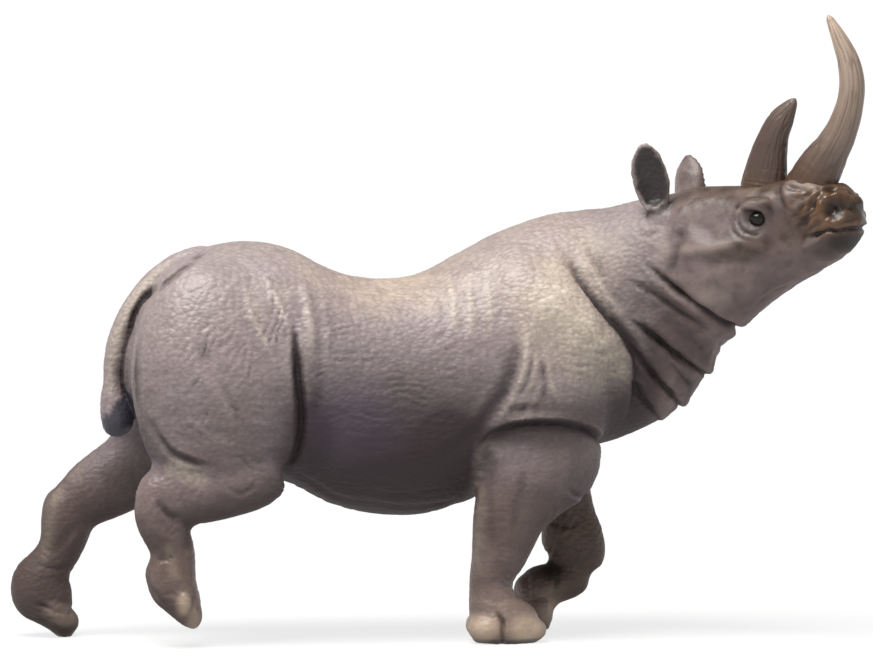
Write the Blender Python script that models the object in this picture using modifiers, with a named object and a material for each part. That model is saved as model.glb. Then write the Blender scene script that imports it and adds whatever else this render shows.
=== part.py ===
"""Rhinoceros figurine, moulded in one piece: it walks with its head raised and turned to its right.

The trunk, neck, head, horns and each stretch of a leg are lofts, each through a short table of sections.
They are fused by voxels, softened where they meet, carved with the main folds of the skin, thinned to
a light mesh and cut flat under the feet. X runs along the body, +Y is its left, and it stands on Z = 0.
"""

import bpy
import numpy as np

# Driving sizes, in metres
FIGURE_LENGTH = 0.165
BODY_VOXEL = 0.0009
DETAIL_VOXEL = 0.0005

# Smoothing passes after each fusing: trunk with hips and shoulders, then legs and head, then details
TRUNK_PASSES = 40
LIMB_PASSES = 12
DETAIL_PASSES = 3
SOLID_TRIANGLES = 9600

# The tables below are in millimetres on a figure of about this length, so they hold its proportions.
MM = 0.001

# Where the head's own frame sits on the body: x along the muzzle, y to its left, z up
HEAD_AT = np.array([49.2, -13.0, 89.8])
HEAD_YAW = np.radians(-38.0)


def through_rows(rows, steps):
    """A smooth curve through the rows by chord length, with its points closer together near both ends."""
    rows = np.asarray(rows, float)
    chord = np.linalg.norm(np.diff(rows[:, :3], axis=0), axis=1)
    along = np.concatenate([[0.0], np.cumsum(chord)])
    even = np.linspace(0.0, 1.0, steps)
    eased = 0.5 - 0.5 * np.cos(np.pi * even)
    wanted = along[-1] * 0.5 * (even + eased)
    rise = np.diff(rows, axis=0) / chord[:, None]
    slope = np.empty_like(rows)
    slope[0] = rise[0]
    slope[-1] = rise[-1]
    slope[1:-1] = (rise[:-1] * chord[1:, None] + rise[1:] * chord[:-1, None]) / (chord[:-1] + chord[1:])[:, None]
    i = np.clip(np.searchsorted(along, wanted, "right") - 1, 0, len(chord) - 1)
    h = chord[i][:, None]
    u = ((wanted - along[i]) / chord[i])[:, None]
    ends = rows[i] * (2 * u**3 - 3 * u**2 + 1) + rows[i + 1] * (3 * u**2 - 2 * u**3)
    bends = slope[i] * (u**3 - 2 * u**2 + u) * h + slope[i + 1] * (u**3 - u**2) * h
    return ends + bends, wanted


# A rounded end keeps this share of its section, so that its last ring never closes to a point
LAST_RING = 0.02


def closed_tube(rings, first, last):
    """Triangles over rings of points, closed with a fan at each end, facing out."""
    count, around = rings.shape[:2]
    points = np.concatenate([rings.reshape(-1, 3), [first, last]])
    ring = np.arange(around)
    after = (ring + 1) % around
    start = np.arange(count - 1)[:, None] * around
    a = start + ring
    b = start + after
    sides = np.stack([a, b + around, b, a, a + around, b + around], -1).reshape(-1, 3)
    foot = np.stack([np.full(around, count * around), ring, after], -1)
    top = (count - 1) * around
    head = np.stack([np.full(around, count * around + 1), top + after, top + ring], -1)
    return points, np.concatenate([sides, foot, head])


def loft(rows, caps=(3.0, 3.0), around=30, steps=36, power=2.1, upright=False):
    """A closed form through sections of x, y, z and four half sizes: front, back, right, left, and a yaw.

    Each section is a superellipse across the path. Front is the side that a section's normal points to,
    which is up on a form that runs along X, and forward on a leg that runs down.
    """
    row, along = through_rows(rows, steps)
    path = row[:, :3]
    yaw = np.radians(row[:, 7]) if row.shape[1] > 7 else np.zeros(steps)
    side = np.stack([-np.sin(yaw), np.cos(yaw), np.zeros(steps)], 1)
    tangent = np.gradient(path, along, axis=0)
    if upright:
        tangent = np.stack([np.cos(yaw), np.sin(yaw), np.zeros(steps)], 1)
    tangent /= np.linalg.norm(tangent, axis=1)[:, None]
    side -= (side * tangent).sum(1)[:, None] * tangent
    side /= np.linalg.norm(side, axis=1)[:, None]
    front = np.cross(tangent, side)
    from_start = np.clip(along / caps[0], 0, 1)
    from_end = np.clip((along[-1] - along) / caps[1], 0, 1)
    grow = np.sqrt(1 - (1 - from_start) ** 2) * np.sqrt(1 - (1 - from_end) ** 2)
    grow = np.maximum(grow, LAST_RING)[:, None]
    angle = np.linspace(0, 2 * np.pi, around, endpoint=False)
    unit = (np.abs(np.cos(angle)) ** power + np.abs(np.sin(angle)) ** power) ** (-1 / power)
    ahead = np.cos(angle) * unit
    across = np.sin(angle) * unit
    depth = np.where(ahead > 0, row[:, 3:4], row[:, 4:5]) * ahead * grow
    width = np.where(across < 0, row[:, 5:6], row[:, 6:7]) * across * grow
    rings = path[:, None] + front[:, None] * depth[..., None] + side[:, None] * width[..., None]
    return closed_tube(rings, path[0], path[-1])


def ellipsoid(centre, radii):
    """A closed ellipsoid about centre."""
    x, y, z = centre
    reach = radii[0]
    rows = []
    for share in (-1.0, -0.5, 0.0, 0.5, 1.0):
        rows.append((x + share * reach, y, z, radii[2], radii[2], radii[1], radii[1]))
    return loft(rows, caps=(reach, reach), around=20, steps=18, power=2.0)


def head_turn():
    """The rotation by HEAD_YAW about Z that takes the head's frame to the body's."""
    c = np.cos(HEAD_YAW)
    s = np.sin(HEAD_YAW)
    return np.array([[c, -s, 0], [s, c, 0], [0, 0, 1]])


def on_head(shape):
    """A shape of the head's frame, placed on the body."""
    points, faces = shape
    return points @ head_turn().T + HEAD_AT, faces


def to_head(points):
    """Points of the body's frame, seen from the head's frame."""
    return (points - HEAD_AT) @ head_turn()


def upright_rows(outline, middle):
    """Rows for a loft along X from (x, top, bottom, half width), with each section's widest level at middle."""
    rows = []
    for x, top, bottom, half in outline:
        height = top - bottom
        rows.append((x, 0, bottom + middle * height, (1 - middle) * height, middle * height, half, half))
    return rows


def trunk():
    outline = [
        (-64.0, 62, 47, 7),
        (-60.8, 67.3, 43, 12),
        (-55.6, 74.0, 39, 16.3),
        (-48, 77.9, 36, 19.2),
        (-38, 79.5, 33.5, 20.8),
        (-30, 78.2, 31.2, 21.2),
        (-21.5, 73.7, 26.7, 21.6),
        (-11.4, 71.8, 24.5, 22),
        (-3, 73.0, 24.5, 21.8),
        (5, 77.3, 27, 21.2),
        (13, 81.3, 31, 20.2),
        (23, 84.7, 36, 18.4),
        (33, 85.9, 41, 16),
        (41, 86.6, 46, 12.5),
    ]
    return loft(upright_rows(outline, 0.45), caps=(7, 9), around=40, steps=56, upright=True)


def neck():
    rows = [
        (20, 0, 60, 23.5, 24, 17.5, 17.5, 0),
        (29, -1, 62.5, 22.2, 24.6, 16.8, 16.8, -4),
        (37, -3, 66, 20.4, 23.4, 15.6, 15.6, -10),
        (43.5, -6.2, 70.5, 18.6, 19.6, 14.2, 14.2, -19),
        (49, -10, 75, 15.4, 15.8, 12.8, 12.8, -29),
        (54, -14, 78.5, 12.0, 13.6, 11.6, 11.6, -36),
        (58, -17.2, 80, 9.5, 12, 10.2, 10.2, -38),
    ]
    return loft(rows, caps=(6, 5), around=36, steps=36)


def skull():
    outline = [
        (-11, -5.5, -27, 5.5),
        (-6, -2.6, -30.2, 8.2),
        (0, 0.1, -32.2, 9.9),
        (6, 0.5, -30.4, 10.4),
        (11, 0.4, -26.8, 10.2),
        (16, 0.8, -23.8, 9.2),
        (21, 1.9, -20.6, 8.0),
        (26, 2.4, -17.4, 7.3),
        (31, 1.8, -14.4, 6.9),
        (34.6, -0.8, -11.8, 6.2),
        (37.3, -4.4, -9.4, 4.2),
    ]
    return on_head(loft(upright_rows(outline, 0.55), caps=(6, 2.6), steps=44, power=2.2, upright=True))


def horn(rows):
    """A horn in the head's middle plane, from (x, z, half depth, half width)."""
    sections = []
    for x, z, depth, width in rows:
        sections.append((x, 0, z, depth, depth, width, width))
    return on_head(loft(sections, caps=(0.5, 1.2), around=24, steps=32, power=2.0))


def front_horn():
    return horn([
        (25.0, -1.5, 5.4, 5.0),
        (26.8, 2.2, 4.9, 4.6),
        (28.7, 5.4, 4.3, 4.1),
        (30.6, 8.2, 3.6, 3.7),
        (32.2, 11, 3.2, 3.2),
        (33.8, 15.2, 2.8, 2.8),
        (34.6, 20.5, 2.5, 2.5),
        (33.8, 25, 2.2, 2.1),
        (31.9, 29.3, 1.6, 1.5),
        (29.4, 34.0, 0.6, 0.6),
    ])


def rear_horn():
    return horn([
        (15.6, -1.5, 5.2, 3.9),
        (16.2, 3, 4.45, 3.6),
        (17.0, 7.2, 3.7, 3.1),
        (18.2, 11, 3.0, 2.6),
        (19.7, 13.8, 2.5, 2.1),
        (21.2, 15.9, 1.6, 1.4),
        (22.6, 17.7, 0.6, 0.6),
    ])


EAR_HALF_WIDTH = 3.7
EAR_CUP = 2.6
EAR_WALL = 1.2


def ear(root, tip, mouth):
    """A cupped ear from root to tip whose hollow faces mouth, all in the head's frame.

    Each ring goes round the back of the cup and returns inside it, a wall's thickness in; near the root
    the hollow closes, and the outline is a leaf that is widest just above its middle.
    """
    root = np.array(root, float)
    tip = np.array(tip, float)
    axis = (tip - root) / np.linalg.norm(tip - root)
    mouth = np.array(mouth, float)
    mouth -= (mouth @ axis) * axis
    mouth /= np.linalg.norm(mouth)
    side = np.cross(axis, mouth)
    share = np.linspace(0, 1, 26)
    leaf = np.interp(share, [0, 0.25, 0.39, 0.54, 0.7, 0.85, 0.95, 1], [0.5, 0.58, 0.76, 0.97, 1.0, 0.8, 0.45, 0.18])
    half = EAR_HALF_WIDTH * leaf
    cup = EAR_CUP * np.interp(share, [0, 0.25, 0.48, 0.78, 1], [0.5, 0.75, 1.0, 0.7, 0.25])
    open_share = np.clip((share - 0.36) / 0.16, 0, 1)
    inner_half = np.maximum(half - EAR_WALL, 0.15 * half)
    inner_cup = (cup - EAR_WALL) * open_share - 0.5 * cup * (1 - open_share)
    out_angle = np.linspace(-0.5 * np.pi, 0.5 * np.pi, 15)
    in_angle = np.linspace(0.4 * np.pi, -0.4 * np.pi, 11)
    outer = half[:, None, None] * np.sin(out_angle)[None, :, None] * side
    outer = outer - cup[:, None, None] * np.cos(out_angle)[None, :, None] * mouth
    inner = inner_half[:, None, None] * np.sin(in_angle)[None, :, None] * side
    inner = inner - inner_cup[:, None, None] * np.cos(in_angle)[None, :, None] * mouth
    path = root + (tip - root) * share[:, None]
    rings = path[:, None] + np.concatenate([outer, inner], 1)
    return on_head(closed_tube(rings, rings[0].mean(0), rings[-1].mean(0)))


def right_thigh():
    rows = [
        (-42, -5.0, 73, 9, 9, 6, 6),
        (-44.4, -8.2, 68, 13, 12.5, 9.0, 8),
        (-46.4, -11.0, 59, 16.4, 16.0, 10, 9),
        (-46.3, -12.3, 50, 16.6, 16.6, 10.2, 9),
        (-45.2, -13, 42.5, 15.6, 15.6, 9.4, 8),
        (-42.6, -13.6, 36, 12.4, 13, 7.8, 7),
        (-40.5, -14, 31, 7.5, 8.5, 5.5, 5),
    ]
    return loft(rows, caps=(6, 4))


def left_thigh():
    rows = [
        (-42, 5.0, 73, 9, 9, 6, 6),
        (-44.6, 8.2, 68, 13, 12.5, 8, 9.0),
        (-47.4, 11.0, 58, 15.8, 15.8, 9, 10),
        (-50, 12.4, 48, 14.2, 15, 9, 10),
        (-52.5, 13.2, 40, 11.5, 13, 8, 8.8),
        (-55, 13.8, 33, 7.5, 9, 6, 6),
    ]
    return loft(rows, caps=(6, 4))


def right_shoulder():
    rows = [
        (16, -6.5, 76, 10, 10, 7, 6),
        (17.5, -9.2, 68, 13.5, 13, 9.4, 8),
        (18.4, -11.4, 59, 14.2, 14.2, 10.0, 8.5),
        (18.4, -12.4, 50, 13.4, 13.8, 9.8, 8.2),
        (18.4, -13, 43, 12.6, 12.6, 8.8, 8),
        (18.2, -13.6, 36, 12.0, 12.0, 7.0, 7.0),
    ]
    return loft(rows, caps=(6, 4))


def left_shoulder():
    rows = [
        (16, 6.5, 76, 10, 10, 6, 7),
        (17.5, 9.2, 67, 13.5, 13.5, 8, 9.6),
        (19, 11.4, 58, 13.7, 14.2, 8.5, 10.0),
        (20.5, 12.3, 49, 12.7, 13.2, 8.2, 9.6),
        (22.5, 12.8, 41, 10, 10.7, 7.6, 8.4),
        (25, 13, 34, 7, 8, 6.0, 6.2),
    ]
    return loft(rows, caps=(6, 4))


def right_hind_leg():
    gaskin = [
        (-35.0, -14, 37.5, 6.6, 6.2, 5.5, 5.5),
        (-39, -14.2, 34.6, 7.5, 7.3, 6.4, 6.2),
        (-44.5, -14.4, 32.4, 7.2, 7.4, 6.4, 6),
        (-50.5, -14.4, 31, 6.9, 6.6, 5.8, 5.4),
        (-56.5, -14.2, 30, 5.8, 5.9, 5.0, 4.8),
        (-61.5, -14, 29.6, 3.6, 3.8, 3.6, 3.6),
    ]
    shank = [
        (-58.6, -14, 33, 3.4, 3.4, 3.4, 3.4),
        (-58.0, -14, 28.5, 5.4, 4.7, 4.6, 4.6),
        (-57.3, -14, 25, 5.6, 4.9, 4.5, 4.5),
        (-56, -13.9, 22, 4.8, 4.7, 4.2, 4.2),
        (-54.3, -13.8, 18.4, 4.0, 4.0, 3.9, 3.9),
        (-54.8, -13.7, 15, 4.6, 5.6, 4.5, 4.5),
        (-54.5, -13.6, 12, 4.4, 5.2, 4.8, 4.8),
        (-53, -13.4, 8.8, 4.0, 3.8, 4.6, 4.6),
        (-51.5, -13.2, 5.8, 2.6, 2.4, 3.6, 3.6),
        (-50.6, -13, 3.4, 1.1, 1.1, 1.8, 1.8),
    ]
    return [loft(gaskin, caps=(4, 3)), loft(shank, caps=(2, 1.2), steps=44)]


def left_hind_leg():
    gaskin = [
        (-50, 13.6, 37, 8, 8, 6.4, 6.4),
        (-57, 13.9, 34.6, 8.2, 8, 6.4, 6.6),
        (-63.5, 14, 31.2, 7.5, 7.3, 5.6, 5.8),
        (-69.5, 14, 27.6, 6.2, 6.2, 4.9, 5),
        (-73.8, 14, 25, 4, 4, 3.8, 3.8),
    ]
    shank = [
        (-72.6, 14, 30.5, 3.6, 3.4, 3.6, 3.6),
        (-73, 14, 26, 5, 4.8, 4.7, 4.7),
        (-73.2, 14, 21, 5.2, 5.0, 4.5, 4.5),
        (-74.3, 14, 17, 4.4, 4.4, 4.2, 4.2),
        (-76.3, 14, 14, 4.4, 4.8, 4.6, 4.6),
        (-78.0, 14, 10.8, 5.8, 6.2, 5.4, 5.4),
        (-77.3, 14, 7.2, 6.1, 6.0, 5.8, 5.8),
        (-75.6, 14, 4.0, 4.7, 3.2, 5.4, 5.4),
        (-73.9, 14, 1.6, 3.0, 1.8, 4.8, 4.8),
        (-73.4, 14, -1.0, 2.0, 1.4, 3.8, 3.8),
    ]
    return [loft(gaskin, caps=(4, 3)), loft(shank, caps=(2, 0.8), steps=44)]


def right_fore_leg():
    rows = [
        (18.3, -13.6, 42, 12.2, 12, 7.6, 7.5),
        (18.2, -13.8, 36, 12.3, 12.3, 7.4, 7),
        (15.4, -14, 31, 9.6, 9.9, 6.8, 6.6),
        (12.6, -14, 26, 7.7, 7.7, 6.1, 6.1),
        (10.8, -14, 20, 6.35, 6.35, 5.4, 5.4),
        (9.8, -14, 16.4, 5.5, 5.5, 5, 5),
        (8.6, -14, 13.2, 4.4, 4.5, 4.6, 4.6),
        (8.4, -14, 10.4, 4.3, 4.4, 4.6, 4.6),
        (8.9, -14, 7.4, 5, 5.1, 5.3, 5.3),
        (10.2, -14, 4.6, 6.6, 6.7, 6.3, 6.3),
        (11.4, -14, 2.4, 7.3, 7.3, 6.6, 6.6),
        (11.6, -14, 0.4, 6.6, 6.4, 5.4, 5.4),
        (11.6, -14, -1.6, 5.0, 5.0, 3.6, 3.6),
    ]
    return [loft(rows, caps=(5, 0.8), steps=52)]


def left_fore_leg():
    forearm = [
        (23, 12.6, 43, 9.5, 10, 7, 7.5),
        (26.6, 12.8, 35, 7.8, 8.4, 6.2, 6.4),
        (29.0, 12.6, 27, 5.2, 5.4, 5.4, 5.4),
        (29.5, 12.4, 22, 6.0, 5.6, 5.4, 5.4),
        (30.2, 12.2, 18.6, 6.6, 6.6, 5.4, 5.4),
        (31.3, 12, 14.8, 5.9, 4.6, 5.1, 5.1),
        (31.6, 12, 11.4, 4.6, 4.4, 4.3, 4.3),
    ]
    cannon = [
        (33.2, 12, 12, 3.6, 3.2, 4, 4),
        (30, 12, 10.4, 4.2, 4.2, 4.3, 4.3),
        (26.4, 12, 9.1, 4.2, 4.2, 4.5, 4.5),
        (22.8, 12, 8.4, 4.6, 4.6, 4.8, 4.8),
        (20, 12, 8.2, 3.4, 3.4, 3.8, 3.8),
    ]
    foot = [
        (21.4, 12, 11.6, 2.6, 2.8, 3.4, 3.4),
        (21.6, 12, 9, 4.2, 3.7, 4.8, 4.8),
        (22.2, 12, 6, 4.3, 3.9, 5.2, 5.2),
        (22.9, 12, 3, 3.3, 3.2, 4.8, 4.8),
        (23.4, 12, 0.6, 2.2, 2.4, 4.0, 4.0),
        (23.4, 12, -1.2, 1.8, 1.8, 3.2, 3.2),
    ]
    return [loft(forearm, caps=(5, 3)), loft(cannon, caps=(3, 1.5)), loft(foot, caps=(2, 0.8))]


def tail():
    rows = [
        (-45, 0, 76.2, 1.2, 1.6, 2.6, 2.6),
        (-51, 0, 75.4, 1.8, 2.0, 2.6, 2.6),
        (-57.2, 0, 70.8, 2.1, 2.0, 2.5, 2.5),
        (-62.0, 0, 65.0, 2.1, 2.0, 2.4, 2.4),
        (-64.4, -0.2, 58.6, 2.1, 2.0, 2.3, 2.3),
        (-65.2, -0.4, 52, 2.1, 2.0, 2.2, 2.2),
        (-65.2, -0.4, 47, 2.7, 2.6, 2.5, 2.5),
        (-64.4, -0.4, 43.6, 2.9, 2.6, 2.3, 2.3),
        (-64.0, -0.4, 41.2, 1.6, 1.6, 1.4, 1.4),
    ]
    return loft(rows, caps=(2, 1.0), around=20, steps=48)


def toes():
    """The toes that stand out of each foot: one ahead and one at each side."""
    places = [
        ((15.4, -14.0, 2.6), (3.9, 4.4, 2.9)),
        ((7.6, -17.4, 3.2), (3.8, 3.2, 3.0)),
        ((7.8, -10.4, 3.2), (3.8, 3.2, 3.0)),
        ((-73.2, 14.0, 2.9), (2.8, 4.2, 2.7)),
        ((-75.8, 9.8, 5.2), (2.8, 2.6, 2.6)),
        ((-75.8, 18.2, 5.2), (2.8, 2.6, 2.6)),
        ((-50.8, -13.0, 6.4), (1.8, 3.4, 3.0)),
        ((-53.2, -16.8, 9.6), (2.0, 2.2, 2.6)),
        ((-53.2, -9.8, 9.6), (2.0, 2.2, 2.6)),
        ((24.0, 12.0, 2.8), (2.1, 3.6, 2.6)),
        ((22.4, 15.8, 4.4), (2.4, 2.2, 2.6)),
        ((22.4, 8.2, 4.4), (2.4, 2.2, 2.6)),
    ]
    shapes = []
    for centre, radii in places:
        shapes.append(ellipsoid(centre, radii))
    return shapes


def face_details():
    """Eyeballs, the rims of the nostrils, the lips and the skin pads at the horns' feet."""
    shapes = []
    for side in (-1, 1):
        shapes.append(on_head(ellipsoid((17.8, side * 7.7, -5.9), (1.6, 1.5, 1.4))))
        shapes.append(on_head(ellipsoid((33.4, side * 4.6, -3.9), (2.2, 1.9, 1.9))))
        shapes.append(on_head(ellipsoid((17.4, side * 7.2, -3.2), (3.6, 1.9, 1.3))))
    shapes.append(on_head(ellipsoid((34.4, 0, -6.2), (3.2, 4.2, 2.0))))
    shapes.append(on_head(ellipsoid((33.8, 0, -9.9), (3.0, 4.0, 1.9))))
    return shapes


# Folds of the skin: sides, frame, line of (x, z), half width, depth of the groove, height of its lip
FOLDS = [
    ("both", "body", [(-34.0, 65.2), (-31.3, 61.0), (-31.2, 56), (-30.8, 48), (-30.5, 42), (-31.8, 36)], 0.9, 1.3, 0.35),
    ("both", "body", [(-28.6, 64.8), (-26.8, 61), (-26.6, 54), (-27.8, 47)], 1.1, 0.45, 0.15),
    ("right", "body", [(-38.9, 66), (-38.0, 61.5), (-36.4, 58.6)], 0.7, 0.3, 0.3),
    ("both", "body", [(-46.5, 51.3), (-44.4, 46.6), (-42.2, 43.7)], 1.8, 0.5, 0.0),
    ("both", "body", [(10.0, 64), (9.7, 57), (7.3, 51.7), (5.2, 47.6), (3.6, 43.9)], 1.3, 0.8, 0.2),
    ("both", "body", [(13.9, 59.5), (13.7, 55.4), (11.6, 50.5), (10.3, 47.2)], 0.9, 0.6, 0.3),
    ("both", "body", [(18.7, 59.9), (18.1, 55.4), (16.4, 50)], 1.1, 0.4, 0.2),
    ("both", "body", [(5.6, 41.5), (9.5, 44.3), (14, 44.6), (19, 44), (24, 43.4), (27.4, 42), (30.4, 38.6)], 0.8, 1.0, 0.6),
    ("both", "body", [(20.4, 73.6), (24.6, 69.4), (33.1, 59.8), (36.8, 55.7), (39.4, 50), (39, 45)], 1.2, 1.0, 0.4),
    ("both", "body", [(24.6, 77.3), (27.2, 71.9), (33.1, 64.0), (36.1, 61.5)], 1.0, 0.7, 0.3),
    ("both", "body", [(35.2, 63.6), (41.2, 58.2), (45.0, 54.8), (50, 50.8)], 1.0, 1.1, 0.5),
    ("both", "body", [(39.5, 65.7), (42.4, 63.2), (47.1, 59.8), (54, 55.6)], 0.9, 0.9, 0.4),
    ("both", "body", [(37.9, 71.1), (42.2, 67.8), (46.9, 64.8), (50.7, 62.3), (60, 60.3)], 0.9, 1.2, 0.5),
    ("both", "body", [(42.2, 73.2), (45.2, 69.0), (49.0, 65.7), (54, 62.6)], 0.8, 0.6, 0.2),
    ("both", "body", [(34.8, 54.0), (35.9, 50.3), (35.7, 43)], 1.0, 0.4, 0.2),
    ("right", "body", [(9.4, 36), (9.9, 30), (9.9, 23)], 1.2, 0.4, 0.0),
    ("right", "body", [(10.6, 6.2), (9.9, 3.9), (10.2, -1)], 0.6, 0.8, 0.0),
    ("both", "head", [(27.6, -9.9), (31.9, -8.3), (36.4, -8.0), (40, -8.1)], 0.6, 0.8, 0.0),
    ("both", "head", [(13.6, 1.0), (17.6, 1.2), (22.0, 3.4)], 0.6, 0.3, 0.0),
    ("both", "head", [(23.5, 2.6), (27.3, 1.8), (31.5, 1.3), (36, 2.0)], 0.7, 0.6, 0.2),
    ("both", "head", [(14.6, -3.9), (17.4, -3.8), (20.2, -5.2), (19.6, -7.8), (16.8, -8.4), (14.4, -6.6)], 0.5, 0.35, 0.1),
]
NOSTRIL = (34.2, -3.9)
NOSTRIL_HALF_WIDTH = 1.0
NOSTRIL_DEPTH = 1.3
NOSTRIL_FROM_MIDDLE = 2.5

# A fold fades over this share of its length at each end; its lip stands beside it, lower on the far side
FOLD_END = 0.25
LIP_AT = 2.2
FAR_LIP = 0.4

# The head's own folds fade in over this stretch of its X
HEAD_FOLDS_FROM = 8.0
HEAD_FOLDS_FADE = 4.0


def to_line(flat, line):
    """How far each flat point is from a line of points, on which side, and how far along it."""
    line = np.asarray(line, float)
    span = np.diff(line, axis=0)
    length = np.linalg.norm(span, axis=1)
    before = np.concatenate([[0.0], np.cumsum(length)])
    best = np.full(len(flat), np.inf)
    side = np.zeros(len(flat))
    along = np.zeros(len(flat))
    for i in range(len(span)):
        away = flat - line[i]
        part = np.clip(away @ span[i] / length[i] ** 2, 0, 1)
        gap = away - part[:, None] * span[i]
        distance = np.linalg.norm(gap, axis=1)
        nearer = distance < best
        turn = span[i][0] * away[:, 1] - span[i][1] * away[:, 0]
        best = np.where(nearer, distance, best)
        side = np.where(nearer, np.sign(turn), side)
        along = np.where(nearer, (before[i] + part * length[i]) / before[-1], along)
    return best, side, along


def smooth_step(value):
    value = np.clip(value, 0, 1)
    return value * value * (3 - 2 * value)


def carve(points, normals):
    """Moves points along their normals into the folds, with a soft lip on the upper side of each groove."""
    seen_from_head = to_head(points)
    frames = {"body": points, "head": seen_from_head}
    facing = {
        "both": np.ones(len(points)),
        "right": smooth_step(0.5 - 2.0 * normals[:, 1]),
    }
    on_head_part = smooth_step((seen_from_head[:, 0] - HEAD_FOLDS_FROM) / HEAD_FOLDS_FADE)
    moved = np.zeros(len(points))
    for sides, frame, line, half, depth, lip in FOLDS:
        flat = frames[frame][:, [0, 2]]
        distance, side, along = to_line(flat, line)
        ends = smooth_step(np.minimum(along, 1 - along) / FOLD_END)
        groove = -depth * np.exp(-((distance / half) ** 2))
        rolled = lip * np.exp(-((distance - LIP_AT * half) ** 2) / half**2) * np.where(side > 0, 1.0, FAR_LIP)
        share = facing[sides] * ends
        if frame == "head":
            share = share * on_head_part
        moved += share * (groove + rolled)
    from_nostril = np.hypot(seen_from_head[:, 0] - NOSTRIL[0], seen_from_head[:, 2] - NOSTRIL[1])
    pit = NOSTRIL_DEPTH * np.exp(-((from_nostril / NOSTRIL_HALF_WIDTH) ** 2))
    moved -= pit * (np.abs(seen_from_head[:, 1]) > NOSTRIL_FROM_MIDDLE)
    return points + normals * moved[:, None]


def clear_scene():
    for obj in list(bpy.data.objects):
        bpy.data.objects.remove(obj, do_unlink=True)


def new_collection(name, hidden=False):
    collection = bpy.data.collections.new(name)
    collection.hide_render = hidden
    bpy.context.scene.collection.children.link(collection)
    return collection


def mesh_object(name, shapes, collection):
    """One object from shapes of (points in millimetres, triangles)."""
    points = []
    faces = []
    count = 0
    for shape_points, shape_faces in shapes:
        points.append(shape_points)
        faces.append(shape_faces + count)
        count += len(shape_points)
    mesh = bpy.data.meshes.new(name)
    mesh.from_pydata((np.concatenate(points) * MM).tolist(), [], np.concatenate(faces).tolist())
    obj = bpy.data.objects.new(name, mesh)
    collection.objects.link(obj)
    return obj


def fused(name, shapes, voxel, passes, helpers):
    """The shapes as one smoothed skin, in millimetres: (points, triangles, normals)."""
    obj = mesh_object(name, shapes, helpers)
    fuse = obj.modifiers.new("fuse", "REMESH")
    fuse.mode = "VOXEL"
    fuse.voxel_size = voxel
    soften = obj.modifiers.new("soften", "SMOOTH")
    soften.factor = 0.5
    soften.iterations = passes
    thirds = obj.modifiers.new("triangles", "TRIANGULATE")
    thirds.min_vertices = 4
    mesh = bpy.data.meshes.new_from_object(obj.evaluated_get(bpy.context.evaluated_depsgraph_get()))
    points = np.empty(len(mesh.vertices) * 3, np.float32)
    mesh.vertices.foreach_get("co", points)
    faces = np.empty(len(mesh.loops), np.int32)
    mesh.loops.foreach_get("vertex_index", faces)
    normals = np.empty(len(mesh.vertices) * 3, np.float32)
    mesh.vertex_normals.foreach_get("vector", normals)
    bpy.data.meshes.remove(mesh)
    bpy.data.objects.remove(obj, do_unlink=True)
    points = points.reshape(-1, 3).astype(float) / MM
    return points, faces.reshape(-1, 3), normals.reshape(-1, 3).astype(float)


def centred(points):
    """Points scaled to the figure's length and set about X = Y = 0, with Z left where it is."""
    standing = points[points[:, 2] > 0]
    low = standing.min(0)
    high = standing.max(0)
    middle = np.array([(low[0] + high[0]) / 2, (low[1] + high[1]) / 2, 0.0])
    return (points - middle) * (FIGURE_LENGTH / MM / (high[0] - low[0]))


def painted_vinyl():
    material = bpy.data.materials.new("painted_vinyl")
    material.use_nodes = True
    shader = material.node_tree.nodes["Principled BSDF"]
    shader.inputs["Base Color"].default_value = (0.21, 0.165, 0.15, 1.0)
    shader.inputs["Roughness"].default_value = 0.5
    shader.inputs["Metallic"].default_value = 0.0
    return material


def floor_block(helpers):
    """The block below Z = 0 that the feet are cut with."""
    bpy.ops.mesh.primitive_cube_add(size=1.0)
    block = bpy.context.object
    block.name = "floor_cut"
    block.scale = (2 * FIGURE_LENGTH, 2 * FIGURE_LENGTH, FIGURE_LENGTH)
    block.location = (0, 0, -FIGURE_LENGTH / 2)
    for collection in block.users_collection:
        collection.objects.unlink(block)
    helpers.objects.link(block)
    block.hide_render = True
    block.display_type = "WIRE"
    return block


def build():
    clear_scene()
    figure = new_collection("rhinoceros_figurine")
    helpers = new_collection("helpers", hidden=True)
    quarters = [right_thigh(), left_thigh(), right_shoulder(), left_shoulder()]
    torso = fused("torso_forms", [trunk(), neck()] + quarters, BODY_VOXEL, TRUNK_PASSES, helpers)
    legs = right_hind_leg() + left_hind_leg() + right_fore_leg() + left_fore_leg()
    body = fused("body_forms", [torso[:2], skull()] + legs, BODY_VOXEL, LIMB_PASSES, helpers)
    right_ear = ear((-3.4, -6.6, -9.5), (-5.6, -9.6, 9.0), (0.5, -0.86, 0.1))
    left_ear = ear((-3.0, 6.6, -9.5), (-4.6, 10.4, 6.4), (0.5, 0.86, 0.1))
    added = [front_horn(), rear_horn(), right_ear, left_ear, tail()] + toes() + face_details()
    points, faces, normals = fused("whole_forms", [body[:2]] + added, DETAIL_VOXEL, DETAIL_PASSES, helpers)
    skin = centred(carve(points, normals))
    rhinoceros = mesh_object("rhinoceros", [(skin, faces)], figure)
    rhinoceros.data.materials.append(painted_vinyl())
    thin = rhinoceros.modifiers.new("thin", "DECIMATE")
    thin.ratio = SOLID_TRIANGLES / len(faces)
    soles = rhinoceros.modifiers.new("soles", "BOOLEAN")
    soles.operation = "DIFFERENCE"
    soles.solver = "EXACT"
    soles.object = floor_block(helpers)
    rhinoceros.data.shade_smooth()


build()
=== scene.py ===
"""Looks of a hand-painted vinyl rhinoceros figurine: one moulded skin, two horns and two eyes.

Shapes are worked out in millimetres in the sculptor's frame: X runs along the body, +Y is its left, Z = 0 is
the floor. The last step of each mesh carries them to the frame's own place and size.
"""

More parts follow.
